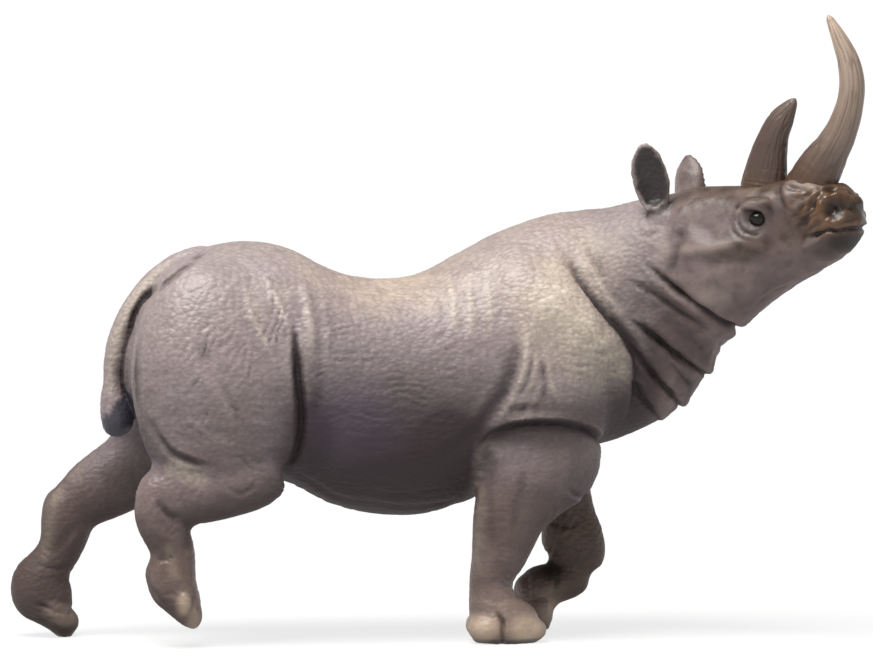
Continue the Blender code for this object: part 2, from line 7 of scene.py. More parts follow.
import bpy
import numpy as np
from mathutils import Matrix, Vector


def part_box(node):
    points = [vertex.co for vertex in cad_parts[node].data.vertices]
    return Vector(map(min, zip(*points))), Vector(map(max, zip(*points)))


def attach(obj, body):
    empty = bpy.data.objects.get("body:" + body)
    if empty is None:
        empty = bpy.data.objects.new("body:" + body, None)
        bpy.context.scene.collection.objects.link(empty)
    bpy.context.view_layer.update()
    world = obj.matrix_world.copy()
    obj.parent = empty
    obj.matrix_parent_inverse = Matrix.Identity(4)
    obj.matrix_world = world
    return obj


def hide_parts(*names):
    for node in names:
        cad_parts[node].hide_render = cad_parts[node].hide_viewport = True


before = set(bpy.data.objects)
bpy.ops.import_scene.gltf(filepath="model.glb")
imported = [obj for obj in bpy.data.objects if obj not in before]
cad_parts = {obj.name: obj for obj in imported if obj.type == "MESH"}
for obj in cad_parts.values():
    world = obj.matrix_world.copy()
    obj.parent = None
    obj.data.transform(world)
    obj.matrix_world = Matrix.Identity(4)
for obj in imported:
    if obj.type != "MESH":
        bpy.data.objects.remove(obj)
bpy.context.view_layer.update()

# The moulded body
#
# The real figure is one casting in soft PVC. A sculptor built its master from round masses: trunk, hips,
# shoulders, neck, skull and legs. Here each mass is a loft, and voxels fuse them into one closed skin.

TRUNK_VOXEL_MM = 0.9
SKIN_VOXEL_MM = 0.34
TRUNK_PASSES = 40
LIMB_PASSES = 12
SKIN_PASSES = 7

# The head has its own frame: x along the muzzle, y to its left, z up from the brow
HEAD_AT = np.array([49.2, -13.0, 89.8])
HEAD_YAW = np.radians(-38.0)


def smooth_step(value):
    """0 below 0, 1 above 1, and 3v² - 2v³ between."""
    value = np.clip(value, 0, 1)
    return value * value * (3 - 2 * value)


def along_rows(rows, steps):
    """Rows of numbers as one smooth curve: a cubic between each two rows, whose slopes are weighted means."""
    rows = np.asarray(rows, float)
    chord = np.linalg.norm(np.diff(rows[:, :3], axis=0), axis=1)
    along = np.concatenate([[0.0], np.cumsum(chord)])
    even = np.linspace(0.0, 1.0, steps)
    wanted = along[-1] * 0.5 * (even + 0.5 - 0.5 * np.cos(np.pi * even))
    rise = np.diff(rows, axis=0) / chord[:, None]
    slope = np.empty_like(rows)
    slope[0] = rise[0]
    slope[-1] = rise[-1]
    weighted = rise[:-1] * chord[1:, None] + rise[1:] * chord[:-1, None]
    slope[1:-1] = weighted / (chord[:-1] + chord[1:])[:, None]
    i = np.clip(np.searchsorted(along, wanted, "right") - 1, 0, len(chord) - 1)
    h = chord[i][:, None]
    u = ((wanted - along[i]) / chord[i])[:, None]
    ends = rows[i] * (2 * u**3 - 3 * u**2 + 1) + rows[i + 1] * (3 * u**2 - 2 * u**3)
    bends = slope[i] * (u**3 - 2 * u**2 + u) * h + slope[i + 1] * (u**3 - u**2) * h
    return ends + bends, wanted


def tube_mesh(rings):
    """Points and triangles over a grid of rings, with a fan over each end, facing out."""
    count, around = rings.shape[:2]
    points = np.concatenate([rings.reshape(-1, 3), [rings[0].mean(0), rings[-1].mean(0)]])
    ring = np.arange(around)
    after = (ring + 1) % around
    start = np.arange(count - 1)[:, None] * around
    a = start + ring
    b = start + after
    sides = np.stack([a, b + around, b, a, a + around, b + around], -1).reshape(-1, 3)
    foot = np.stack([np.full(around, count * around), ring, after], -1)
    top = (count - 1) * around
    head = np.stack([np.full(around, count * around + 1), top + after, top + ring], -1)
    return points, np.concatenate([sides, foot, head])


def loft(rows, caps=(3.0, 3.0), around=36, steps=48, power=2.1, upright=False):
    """A closed form through sections of x, y, z, four half sizes (front, back, right, left) and a yaw.

    Each ring is the superellipse |a|^power + |b|^power = 1, stretched by its four half sizes, and it stands
    across the path. Within caps of an end it shrinks as a quarter circle does.
    """
    row, along = along_rows(rows, steps)
    path = row[:, :3]
    yaw = np.radians(row[:, 7]) if row.shape[1] > 7 else np.zeros(steps)
    side = np.stack([-np.sin(yaw), np.cos(yaw), np.zeros(steps)], 1)
    tangent = np.gradient(path, along, axis=0)
    if upright:
        tangent = np.stack([np.cos(yaw), np.sin(yaw), np.zeros(steps)], 1)
    tangent /= np.linalg.norm(tangent, axis=1)[:, None]
    side -= (side * tangent).sum(1)[:, None] * tangent
    side /= np.linalg.norm(side, axis=1)[:, None]
    front = np.cross(tangent, side)
    from_start = np.clip(along / caps[0], 0, 1)
    from_end = np.clip((along[-1] - along) / caps[1], 0, 1)
    grow = np.sqrt(1 - (1 - from_start) ** 2) * np.sqrt(1 - (1 - from_end) ** 2)
    grow = np.maximum(grow, 0.02)[:, None]
    angle = np.linspace(0, 2 * np.pi, around, endpoint=False)
    unit = (np.abs(np.cos(angle)) ** power + np.abs(np.sin(angle)) ** power) ** (-1 / power)
    ahead = np.cos(angle) * unit
    across = np.sin(angle) * unit
    depth = np.where(ahead > 0, row[:, 3:4], row[:, 4:5]) * ahead * grow
    width = np.where(across < 0, row[:, 5:6], row[:, 6:7]) * across * grow
    return tube_mesh(path[:, None] + front[:, None] * depth[..., None] + side[:, None] * width[..., None])


def ellipsoid(centre, radii):
    """A closed ellipsoid: a loft whose sections shrink as a circle does, over one radius at each end."""
    x, y, z = centre
    reach = radii[0]
    rows = []
    for share in (-1.0, -0.5, 0.0, 0.5, 1.0):
        rows.append((x + share * reach, y, z, radii[2], radii[2], radii[1], radii[1]))
    return loft(rows, caps=(reach, reach), around=24, steps=22, power=2.0)


def head_turn():
    """The rotation by HEAD_YAW about Z that takes the head's frame to the body's."""
    c = np.cos(HEAD_YAW)
    s = np.sin(HEAD_YAW)
    return np.array([[c, -s, 0], [s, c, 0], [0, 0, 1]])


def on_head(shape):
    """A shape of the head's frame, placed on the body."""
    points, faces = shape
    return points @ head_turn().T + HEAD_AT, faces


def to_head(points):
    """Points of the body's frame, seen from the head's frame."""
    return (points - HEAD_AT) @ head_turn()


def upright_rows(outline, middle):
    """Rows for a loft along X from (x, top, bottom, half width); each section is widest at middle of its
    height."""
    rows = []
    for x, top, bottom, half in outline:
        height = top - bottom
        rows.append((x, 0, bottom + middle * height, (1 - middle) * height, middle * height, half, half))
    return rows


TRUNK = [
    (-64.0, 62, 47, 7),
    (-60.8, 67.3, 43, 12),
    (-55.6, 74.0, 39, 16.3),
    (-48, 77.9, 36, 19.2),
    (-38, 79.5, 33.5, 20.8),
    (-30, 78.2, 31.2, 21.2),
    (-21.5, 73.7, 26.7, 21.6),
    (-11.4, 71.8, 24.5, 22),
    (-3, 73.0, 24.5, 21.8),
    (5, 77.3, 27, 21.2),
    (13, 81.3, 31, 20.2),
    (23, 84.7, 36, 18.4),
    (33, 85.9, 41, 16),
    (41, 86.6, 46, 12.5),
]
NECK = [
    (20, 0, 60, 23.5, 24, 17.5, 17.5, 0),
    (29, -1, 62.5, 22.2, 24.6, 16.8, 16.8, -4),
    (37, -3, 66, 20.4, 23.4, 15.6, 15.6, -10),
    (43.5, -6.2, 70.5, 18.6, 19.6, 14.2, 14.2, -19),
    (49, -10, 75, 15.4, 15.8, 12.8, 12.8, -29),
    (54, -14, 78.5, 12.0, 13.6, 11.6, 11.6, -36),
    (58, -17.2, 80, 9.5, 12, 10.2, 10.2, -38),
]
SKULL = [
    (-11, -5.5, -27, 5.5),
    (-6, -2.6, -30.2, 8.2),
    (0, 0.1, -32.2, 9.9),
    (6, 0.5, -30.4, 10.4),
    (11, 0.4, -26.8, 10.2),
    (16, 0.8, -23.8, 9.2),
    (21, 1.9, -20.6, 8.0),
    (26, 2.4, -17.4, 7.3),
    (31, 1.8, -14.4, 6.9),
    (34.6, -0.8, -11.8, 6.2),
    (37.3, -4.4, -9.4, 4.2),
]
RIGHT_THIGH = [
    (-42, -5.0, 73, 9, 9, 6, 6),
    (-44.4, -8.2, 68, 13, 12.5, 9.0, 8),
    (-46.4, -11.0, 59, 16.4, 16.0, 10, 9),
    (-46.3, -12.3, 50, 16.6, 16.6, 10.2, 9),
    (-45.2, -13, 42.5, 15.6, 15.6, 9.4, 8),
    (-42.6, -13.6, 36, 12.4, 13, 7.8, 7),
    (-40.5, -14, 31, 7.5, 8.5, 5.5, 5),
]
LEFT_THIGH = [
    (-42, 5.0, 73, 9, 9, 6, 6),
    (-44.6, 8.2, 68, 13, 12.5, 8, 9.0),
    (-47.4, 11.0, 58, 15.8, 15.8, 9, 10),
    (-50, 12.4, 48, 14.2, 15, 9, 10),
    (-52.5, 13.2, 40, 11.5, 13, 8, 8.8),
    (-55, 13.8, 33, 7.5, 9, 6, 6),
]
RIGHT_SHOULDER = [
    (16, -6.5, 76, 10, 10, 7, 6),
    (17.5, -9.2, 68, 13.5, 13, 9.4, 8),
    (18.4, -11.4, 59, 14.2, 14.2, 10.0, 8.5),
    (18.4, -12.4, 50, 13.4, 13.8, 9.8, 8.2),
    (18.4, -13, 43, 12.6, 12.6, 8.8, 8),
    (18.2, -13.6, 36, 12.0, 12.0, 7.0, 7.0),
]
LEFT_SHOULDER = [
    (16, 6.5, 76, 10, 10, 6, 7),
    (17.5, 9.2, 67, 13.5, 13.5, 8, 9.6),
    (19, 11.4, 58, 13.7, 14.2, 8.5, 10.0),
    (20.5, 12.3, 49, 12.7, 13.2, 8.2, 9.6),
    (22.5, 12.8, 41, 10, 10.7, 7.6, 8.4),
    (25, 13, 34, 7, 8, 6.0, 6.2),
]
RIGHT_HIND_LEG = [
    [
        (-35.0, -14, 37.5, 6.6, 6.2, 5.5, 5.5),
        (-39, -14.2, 34.6, 7.5, 7.3, 6.4, 6.2),
        (-44.5, -14.4, 32.4, 7.2, 7.4, 6.4, 6),
        (-50.5, -14.4, 31, 6.9, 6.6, 5.8, 5.4),
        (-56.5, -14.2, 30, 5.8, 5.9, 5.0, 4.8),
        (-61.5, -14, 29.6, 3.6, 3.8, 3.6, 3.6),
    ],
    [
        (-58.6, -14, 33, 3.4, 3.4, 3.4, 3.4),
        (-58.0, -14, 28.5, 5.4, 4.7, 4.6, 4.6),
        (-57.3, -14, 25, 5.6, 4.9, 4.5, 4.5),
        (-56, -13.9, 22, 4.8, 4.7, 4.2, 4.2),
        (-54.3, -13.8, 18.4, 4.0, 4.0, 3.9, 3.9),
        (-54.8, -13.7, 15, 4.6, 5.6, 4.5, 4.5),
        (-54.5, -13.6, 12, 4.4, 5.2, 4.8, 4.8),
        (-53, -13.4, 8.8, 4.0, 3.8, 4.6, 4.6),
        (-51.5, -13.2, 5.8, 2.6, 2.4, 3.6, 3.6),
        (-50.6, -13, 3.4, 1.1, 1.1, 1.8, 1.8),
    ],
]
LEFT_HIND_LEG = [
    [
        (-50, 13.6, 37, 8, 8, 6.4, 6.4),
        (-57, 13.9, 34.6, 8.2, 8, 6.4, 6.6),
        (-63.5, 14, 31.2, 7.5, 7.3, 5.6, 5.8),
        (-69.5, 14, 27.6, 6.2, 6.2, 4.9, 5),
        (-73.8, 14, 25, 4, 4, 3.8, 3.8),
    ],
    [
        (-72.6, 14, 30.5, 3.6, 3.4, 3.6, 3.6),
        (-73, 14, 26, 5, 4.8, 4.7, 4.7),
        (-73.2, 14, 21, 5.2, 5.0, 4.5, 4.5),
        (-74.3, 14, 17, 4.4, 4.4, 4.2, 4.2),
        (-76.3, 14, 14, 4.4, 4.8, 4.6, 4.6),
        (-78.0, 14, 10.8, 5.8, 6.2, 5.4, 5.4),
        (-77.3, 14, 7.2, 6.1, 6.0, 5.8, 5.8),
        (-75.6, 14, 4.0, 4.7, 3.2, 5.4, 5.4),
        (-73.9, 14, 1.6, 3.0, 1.8, 4.8, 4.8),
        (-73.4, 14, -1.0, 2.0, 1.4, 3.8, 3.8),
    ],
]
RIGHT_FORE_LEG = [
    [
        (18.3, -13.6, 42, 12.2, 12, 7.6, 7.5),
        (18.2, -13.8, 36, 12.3, 12.3, 7.4, 7),
        (15.4, -14, 31, 9.6, 9.9, 6.8, 6.6),
        (12.6, -14, 26, 7.7, 7.7, 6.1, 6.1),
        (10.8, -14, 20, 6.35, 6.35, 5.4, 5.4),
        (9.8, -14, 16.4, 5.5, 5.5, 5, 5),
        (8.6, -14, 13.2, 4.4, 4.5, 4.6, 4.6),
        (8.4, -14, 10.4, 4.3, 4.4, 4.6, 4.6),
        (8.9, -14, 7.4, 5, 5.1, 5.3, 5.3),
        (10.2, -14, 4.6, 6.6, 6.7, 6.3, 6.3),
        (11.4, -14, 2.4, 7.3, 7.3, 6.6, 6.6),
        (11.6, -14, 0.4, 6.6, 6.4, 5.4, 5.4),
        (11.6, -14, -1.6, 5.0, 5.0, 3.6, 3.6),
    ],
]
LEFT_FORE_LEG = [
    [
        (23, 12.6, 43, 9.5, 10, 7, 7.5),
        (26.6, 12.8, 35, 7.8, 8.4, 6.2, 6.4),
        (29.0, 12.6, 27, 5.2, 5.4, 5.4, 5.4),
        (29.5, 12.4, 22, 6.0, 5.6, 5.4, 5.4),
        (30.2, 12.2, 18.6, 6.6, 6.6, 5.4, 5.4),
        (31.3, 12, 14.8, 5.9, 4.6, 5.1, 5.1),
        (31.6, 12, 11.4, 4.6, 4.4, 4.3, 4.3),
    ],
    [
        (33.2, 12, 12, 3.6, 3.2, 4, 4),
        (30, 12, 10.4, 4.2, 4.2, 4.3, 4.3),
        (26.4, 12, 9.1, 4.2, 4.2, 4.5, 4.5),
        (22.8, 12, 8.4, 4.6, 4.6, 4.8, 4.8),
        (20, 12, 8.2, 3.4, 3.4, 3.8, 3.8),
    ],
    [
        (21.4, 12, 11.6, 2.6, 2.8, 3.4, 3.4),
        (21.6, 12, 9, 4.2, 3.7, 4.8, 4.8),
        (22.2, 12, 6, 4.3, 3.9, 5.2, 5.2),
        (22.9, 12, 3, 3.3, 3.2, 4.8, 4.8),
        (23.4, 12, 0.6, 2.2, 2.4, 4.0, 4.0),
        (23.4, 12, -1.2, 1.8, 1.8, 3.2, 3.2),
    ],
]
TAIL = [
    (-43, 0, 76.6, 1.2, 1.6, 2.8, 2.8),
    (-49, -0.4, 76.2, 1.6, 2.0, 2.9, 2.9),
    (-54.4, -0.6, 73.6, 1.9, 2.0, 2.8, 2.8),
    (-59.6, -0.6, 68.6, 2.1, 2.0, 2.6, 2.6),
    (-63.2, -0.6, 62.4, 2.1, 2.0, 2.5, 2.5),
    (-65.0, -0.6, 56, 2.1, 1.9, 2.3, 2.3),
    (-65.4, -0.6, 51, 1.9, 1.7, 2.1, 2.1),
    (-65.2, -0.6, 48, 2.6, 2.4, 2.6, 2.6),
    (-64.6, -0.6, 45, 3.3, 3.0, 3.0, 3.0),
    (-64.0, -0.6, 42.4, 3.0, 2.8, 2.6, 2.6),
    (-63.6, -0.6, 40.6, 1.6, 1.6, 1.5, 1.5),
]

# Toes: centre and radii of the hoof that stands out of each foot ahead and at each side
TOES = [
    ((15.6, -14.6, 2.5), (3.9, 4.4, 2.7)),
    ((6.9, -17.0, 3.0), (3.6, 3.4, 2.8)),
    ((7.8, -10.4, 3.2), (3.8, 3.2, 3.0)),
    ((-73.2, 14.0, 2.9), (2.8, 4.2, 2.7)),
    ((-75.8, 9.8, 5.2), (2.8, 2.6, 2.6)),
    ((-75.8, 18.2, 5.2), (2.8, 2.6, 2.6)),
    ((-50.8, -13.0, 6.4), (1.8, 3.4, 3.0)),
    ((-53.2, -16.8, 9.6), (2.0, 2.2, 2.6)),
    ((-53.2, -9.8, 9.6), (2.0, 2.2, 2.6)),
    ((24.0, 12.0, 2.8), (2.1, 3.6, 2.6)),
    ((22.4, 15.8, 4.4), (2.4, 2.2, 2.6)),
    ((22.4, 8.2, 4.4), (2.4, 2.2, 2.6)),
]

# Soft masses of the face, in the head's frame, one at each side: nostril wing, brow, front
# horn's foot and ear's foot
FACE_PAIRS = [
    ((33.0, 4.7, -3.9), (2.3, 1.9, 2.0)),
    ((17.2, 7.1, -3.0), (3.8, 1.9, 1.2)),
    ((24.2, 2.6, -0.4), (3.6, 2.6, 2.6)),
    ((-3.4, 6.2, -6.8), (3.6, 2.4, 3.2)),
]
LIPS = [
    ((34.1, 0, -5.9), (3.0, 4.3, 2.1)),
    ((32.1, 0, -9.9), (2.8, 3.8, 1.9)),
]

EAR_HALF_WIDTH = 3.7
EAR_CUP = 2.6
EAR_WALL = 1.0

# Right and left ear in the head's frame: root, tip and the way that the cup opens
EARS = [
    ((-3.2, -6.6, -9.5), (-6.0, -9.8, 9.0), (0.38, -0.92, 0.1)),
    ((-2.6, 6.6, -9.5), (-5.4, 10.4, 6.6), (0.12, 0.98, 0.1)),
]


def ear(root, tip, mouth):
    """A cupped ear: each ring goes half round the back of the cup and returns inside it by a wall.

    The half width follows a leaf outline from root to tip, and the hollow opens above the stalk.
    """
    root = np.array(root, float)
    tip = np.array(tip, float)
    axis = (tip - root) / np.linalg.norm(tip - root)
    mouth = np.array(mouth, float)
    mouth -= (mouth @ axis) * axis
    mouth /= np.linalg.norm(mouth)
    side = np.cross(axis, mouth)
    share = np.linspace(0, 1, 40)
    up_the_leaf = [0, 0.25, 0.39, 0.54, 0.7, 0.85, 0.95, 1]
    leaf = np.interp(share, up_the_leaf, [0.42, 0.48, 0.84, 1.0, 1.0, 0.82, 0.48, 0.2])
    half = EAR_HALF_WIDTH * leaf
    cup = EAR_CUP * np.interp(share, [0, 0.25, 0.48, 0.78, 1], [0.5, 0.75, 1.0, 0.7, 0.25])
    hollow = smooth_step((share - 0.30) / 0.08)
    inner_half = np.maximum(half - EAR_WALL, 0.15 * half)
    inner_cup = (cup - EAR_WALL) * hollow - 0.5 * cup * (1 - hollow)
    out_angle = np.linspace(-0.5 * np.pi, 0.5 * np.pi, 25)
    in_angle = np.linspace(0.4 * np.pi, -0.4 * np.pi, 19)
    outer = half[:, None, None] * np.sin(out_angle)[None, :, None] * side
    outer = outer - cup[:, None, None] * np.cos(out_angle)[None, :, None] * mouth
    inner = inner_half[:, None, None] * np.sin(in_angle)[None, :, None] * side
    inner = inner - inner_cup[:, None, None] * np.cos(in_angle)[None, :, None] * mouth
    path = root + (tip - root) * share[:, None]
    return on_head(tube_mesh(path[:, None] + np.concatenate([outer, inner], 1)))


def mesh_from(name, points, faces):
    """A mesh object from points and triangles as they are, linked to the scene."""
    mesh = bpy.data.meshes.new(name)
    mesh.vertices.add(len(points))
    mesh.vertices.foreach_set("co", np.asarray(points, np.float32).ravel())
    mesh.loops.add(3 * len(faces))
    mesh.loops.foreach_set("vertex_index", np.asarray(faces, np.int32).ravel())
    mesh.polygons.add(len(faces))
    mesh.polygons.foreach_set("loop_start", np.arange(0, 3 * len(faces), 3, dtype=np.int32))
    mesh.update(calc_edges=True)
    obj = bpy.data.objects.new(name, mesh)
    bpy.context.scene.collection.objects.link(obj)
    return obj


def triangles_of(obj, layers=()):
    """The points and triangles of an object with its modifiers, as arrays; the object is then removed.

    With the names of point attributes, a dictionary of their values follows.
    """
    mesh = bpy.data.meshes.new_from_object(obj.evaluated_get(bpy.context.evaluated_depsgraph_get()))
    points = np.empty(len(mesh.vertices) * 3, np.float32)
    mesh.vertices.foreach_get("co", points)
    faces = np.empty(len(mesh.loops), np.int32)
    mesh.loops.foreach_get("vertex_index", faces)
    carried = {}
    for layer in layers:
        values = np.empty(len(mesh.vertices), np.float32)
        mesh.attributes[layer].data.foreach_get("value", values)
        carried[layer] = values.astype(float)
    bpy.data.meshes.remove(mesh)
    bpy.data.meshes.remove(obj.data)
    shape = (points.reshape(-1, 3).astype(float), faces.reshape(-1, 3))
    return (*shape, carried) if layers else shape


def fused(shapes, voxel, passes):
    """Overlapping closed shapes as one skin: voxels of that size, then passes that move each point halfway
    to the mean of its neighbours."""
    counts = np.cumsum([0] + [len(points) for points, _ in shapes])
    points = np.concatenate([points for points, _ in shapes])
    faces = np.concatenate([shape[1] + start for shape, start in zip(shapes, counts)])
    lump = mesh_from("lump", points, faces)
    melt = lump.modifiers.new("melt", "REMESH")
    melt.mode = "VOXEL"
    melt.voxel_size = voxel
    soften = lump.modifiers.new("soften", "SMOOTH")
    soften.factor = 0.5
    soften.iterations = passes
    lump.modifiers.new("thirds", "TRIANGULATE")
    return triangles_of(lump)


trunk = loft(upright_rows(TRUNK, 0.45), caps=(7, 9), around=44, steps=70, upright=True)
neck = loft(NECK, caps=(6, 5), around=40)
skull = on_head(loft(upright_rows(SKULL, 0.55), caps=(6, 2.6), steps=60, power=2.2, upright=True))
quarters = [loft(rows, caps=(6, 4)) for rows in (RIGHT_THIGH, LEFT_THIGH, RIGHT_SHOULDER, LEFT_SHOULDER)]
leg_parts = RIGHT_HIND_LEG + LEFT_HIND_LEG + RIGHT_FORE_LEG + LEFT_FORE_LEG
limbs = [loft(rows, caps=(3, 1.0)) for rows in leg_parts]
torso = fused([trunk, neck] + quarters, TRUNK_VOXEL_MM, TRUNK_PASSES)
body = fused([torso, skull] + limbs, TRUNK_VOXEL_MM, LIMB_PASSES)
added = [loft(TAIL, caps=(2, 1.0), around=24, steps=60)]
added += [ear(root, tip, mouth) for root, tip, mouth in EARS]
added += [ellipsoid(centre, radii) for centre, radii in TOES]
added += [on_head(ellipsoid(centre, radii)) for centre, radii in LIPS]
for (x, y, z), radii in FACE_PAIRS:
    added.append(on_head(ellipsoid((x, y, z), radii)))
    added.append(on_head(ellipsoid((x, -y, z), radii)))
skin, skin_faces = fused([body] + added, SKIN_VOXEL_MM, SKIN_PASSES)

# Relief of the skin
#
# On the real figure the folds, wrinkles and pebbled hide were cut into the master and moulded with it.
# Here each point of the fused skin moves along its own normal by the sum of the folds, swells and wrinkles.

# A fold fades over this share of its length at each end unless it says otherwise
FOLD_TAPER = 0.38


def point_normals(points, faces):
    """Unit normals at the points: the sum of the cross products of the triangles that meet there."""
    a = points[faces[:, 0]]
    cross = np.cross(points[faces[:, 1]] - a, points[faces[:, 2]] - a)
    total = np.zeros_like(points)
    for axis in range(3):
        for corner in range(3):
            total[:, axis] += np.bincount(faces[:, corner], cross[:, axis], len(points))
    return total / np.maximum(np.linalg.norm(total, axis=1), 1e-9)[:, None]


def relaxed(values, faces, passes, share=0.5):
    """Values at the points, moved in each pass by share of the way to the mean of their neighbours."""
    ends = np.concatenate([faces[:, [0, 1]], faces[:, [1, 2]], faces[:, [2, 0]]])
    size = len(values)
    degree = np.maximum(np.bincount(ends[:, 0], minlength=size), 1)
    columns = values.reshape(size, -1).astype(float)
    for _ in range(passes):
        mean = np.empty_like(columns)
        for axis in range(columns.shape[1]):
            mean[:, axis] = np.bincount(ends[:, 0], columns[ends[:, 1], axis], size) / degree
        columns += share * (mean - columns)
    return columns.reshape(values.shape)


def from_line(flat, line, reach):
    """For the flat points within reach of a line: their indices, signed distance from it (+ on its left) and
    share of the way along it."""
    line = np.asarray(line, float)
    low = line.min(0) - reach
    high = line.max(0) + reach
    near = np.flatnonzero(np.all((flat > low) & (flat < high), axis=1))
    close = flat[near]
    span = np.diff(line, axis=0)
    length = np.linalg.norm(span, axis=1)
    before = np.concatenate([[0.0], np.cumsum(length)])
    best = np.full(len(near), np.inf)
    side = np.zeros(len(near))
    along = np.zeros(len(near))
    for i in range(len(span)):
        away = close - line[i]
        part = np.clip(away @ span[i] / length[i] ** 2, 0, 1)
        distance = np.linalg.norm(away - part[:, None] * span[i], axis=1)
        turn = span[i][0] * away[:, 1] - span[i][1] * away[:, 0]
        nearer = distance < best
        best = np.where(nearer, distance, best)
        side = np.where(nearer, np.sign(turn), side)
        along = np.where(nearer, (before[i] + part * length[i]) / before[-1], along)
    return near, best * side, along


def curve_through(line, steps=8):
    """The given points of a line with steps more between each two, on a smooth curve through them."""
    padded = np.zeros((len(line), 3))
    padded[:, :2] = line
    if len(line) < 3:
        return np.asarray(line, float)
    return along_rows(padded, steps * (len(line) - 1))[0][:, :2]


def add_fold(height, flat, facing, line, half, depth, left=0.0, right=0.0, taper=FOLD_TAPER):
    """Adds a fold: a groove of Gaussian section, with a rounded lip on its left and on its right side.

    A lip rises steeply from the groove and falls away over three times its half width, as rolled skin does.
    A groove of negative depth is a ridge.
    """
    reach = 6.0 * half + 1.0
    path = curve_through(line)
    near, distance, along = from_line(flat, path, reach)
    length = np.linalg.norm(np.diff(path, axis=0), axis=1).sum()
    ends = smooth_step(np.minimum(along, 1 - along) / taper)
    places = np.column_stack([along * length / 3.5, np.tile(path[0], (len(near), 1))])
    uneven = 0.9 + 0.35 * lattice_noise(*places.T, 3)
    share = facing[near] * ends * uneven
    away = np.abs(distance) / half
    lip = smooth_step((away - 0.5) / 1.2) * np.exp(-np.maximum(away - 1.7, 0) ** 2 / 4.0)
    rolled = lip * np.where(distance > 0, left, right)
    height[near] += share * (rolled - depth * np.exp(-(away**2)))


def add_roll(height, flat, facing, line, reach, left, right):
    """Adds loose skin that rolls up to a line: on each side it rises within 0.7 mm of the line and dies
    away as a Gaussian over reach."""
    near, distance, along = from_line(flat, curve_through(line), 2.2 * reach)
    ends = smooth_step(np.minimum(along, 1 - along) / 0.3)
    swell = smooth_step(np.abs(distance) / 0.7) * np.exp(-((distance / reach) ** 2))
    height[near] += facing[near] * ends * swell * np.where(distance > 0, left, right)


def lattice_noise(x, y, z, seed):
    """Smooth noise from -1 to 1: hashed values at whole numbers, blended with 3v² - 2v³ along each axis."""
    corners = [np.floor(axis).astype(np.int64) for axis in (x, y, z)]
    shares = [smooth_step(axis - corner) for axis, corner in zip((x, y, z), corners)]
    total = np.zeros(len(x))
    for i in (0, 1):
        for j in (0, 1):
            for k in (0, 1):
                weight = np.ones(len(x))
                for axis, step in enumerate((i, j, k)):
                    weight = weight * (shares[axis] if step else 1 - shares[axis])
                total += weight * hashed(corners[0] + i, corners[1] + j, corners[2] + k, seed)
    return 2 * total - 1


def hashed(i, j, k, seed):
    """A number from 0 to 1 for each whole-number cell, mixed from its place by odd multipliers and shifts."""
    mixed = (i * 73856093) ^ (j * 19349663) ^ (k * 83492791) ^ (seed * 2654435761)
    mixed = (mixed ^ (mixed >> 13)) & 0xFFFFFFFF
    mixed = (mixed * 1274126177) & 0xFFFFFFFF
    mixed = (mixed ^ (mixed >> 16)) & 0xFFFFFFFF
    mixed = (mixed * 2246822519) & 0xFFFFFFFF
    return ((mixed ^ (mixed >> 15)) & 0xFFFFFF) / float(0xFFFFFF)


def pebbles(points, pitch, seed):
    """Rounded pebbles from 0 to 1: each cell of that pitch has one seed point, and the height falls with the
    distance to the nearest and rises with that to the second, so that valleys run where two are as near."""
    cell = points / pitch
    base = np.floor(cell).astype(np.int64)
    first = np.full(len(points), 9.0)
    second = np.full(len(points), 9.0)
    for i in (-1, 0, 1):
        for j in (-1, 0, 1):
            for k in (-1, 0, 1):
                place = base + (i, j, k)
                gap = np.zeros(len(points))
                for axis in range(3):
                    jitter = hashed(place[:, 0], place[:, 1], place[:, 2], seed + axis)
                    gap += (place[:, axis] + 0.15 + 0.7 * jitter - cell[:, axis]) ** 2
                gap = np.sqrt(gap)
                second = np.minimum(np.maximum(first, gap), second)
                first = np.minimum(first, gap)
    return smooth_step((second - first) / 0.45)


def creases(points, along, across, length, pitch, seed):
    """Fine creases from 0 to 1, side by side at that pitch: thin valleys of a cosine whose phase wanders with
    noise, so that they run in and out of each other, broken where a second noise is low."""
    a = points @ np.asarray(along, float) / length
    b = points @ np.asarray(across, float) / pitch
    c = points @ np.cross(along, across) / length
    wander = lattice_noise(a, 0.35 * b, c, seed) + 0.5 * lattice_noise(2.1 * a, 0.8 * b, 2 * c, seed + 1)
    valley = (0.5 + 0.5 * np.cos(2 * np.pi * (b + 0.9 * wander))) ** 2
    return valley * smooth_step(0.55 + 1.5 * lattice_noise(1.3 * a, 0.6 * b, c, seed + 2))


def stroke(flat, line, reach):
    """1 on a line and 0 away from it, as a Gaussian over reach, tapered over the line's end fifths."""
    values = np.zeros(len(flat))
    near, distance, along = from_line(flat, curve_through(line), 2.6 * reach)
    values[near] = np.exp(-((distance / reach) ** 2)) * smooth_step(np.minimum(along, 1 - along) / 0.2)
    return values


def patch(points, centre, radii, axes=(0, 2)):
    """1 at the centre and 0 past the radii, by a Gaussian in the two named axes."""
    gap = 0.0
    for axis, middle, radius in zip(axes, centre, radii):
        gap = gap + ((points[:, axis] - middle) / radius) ** 2
    return np.exp(-(gap**1.5))


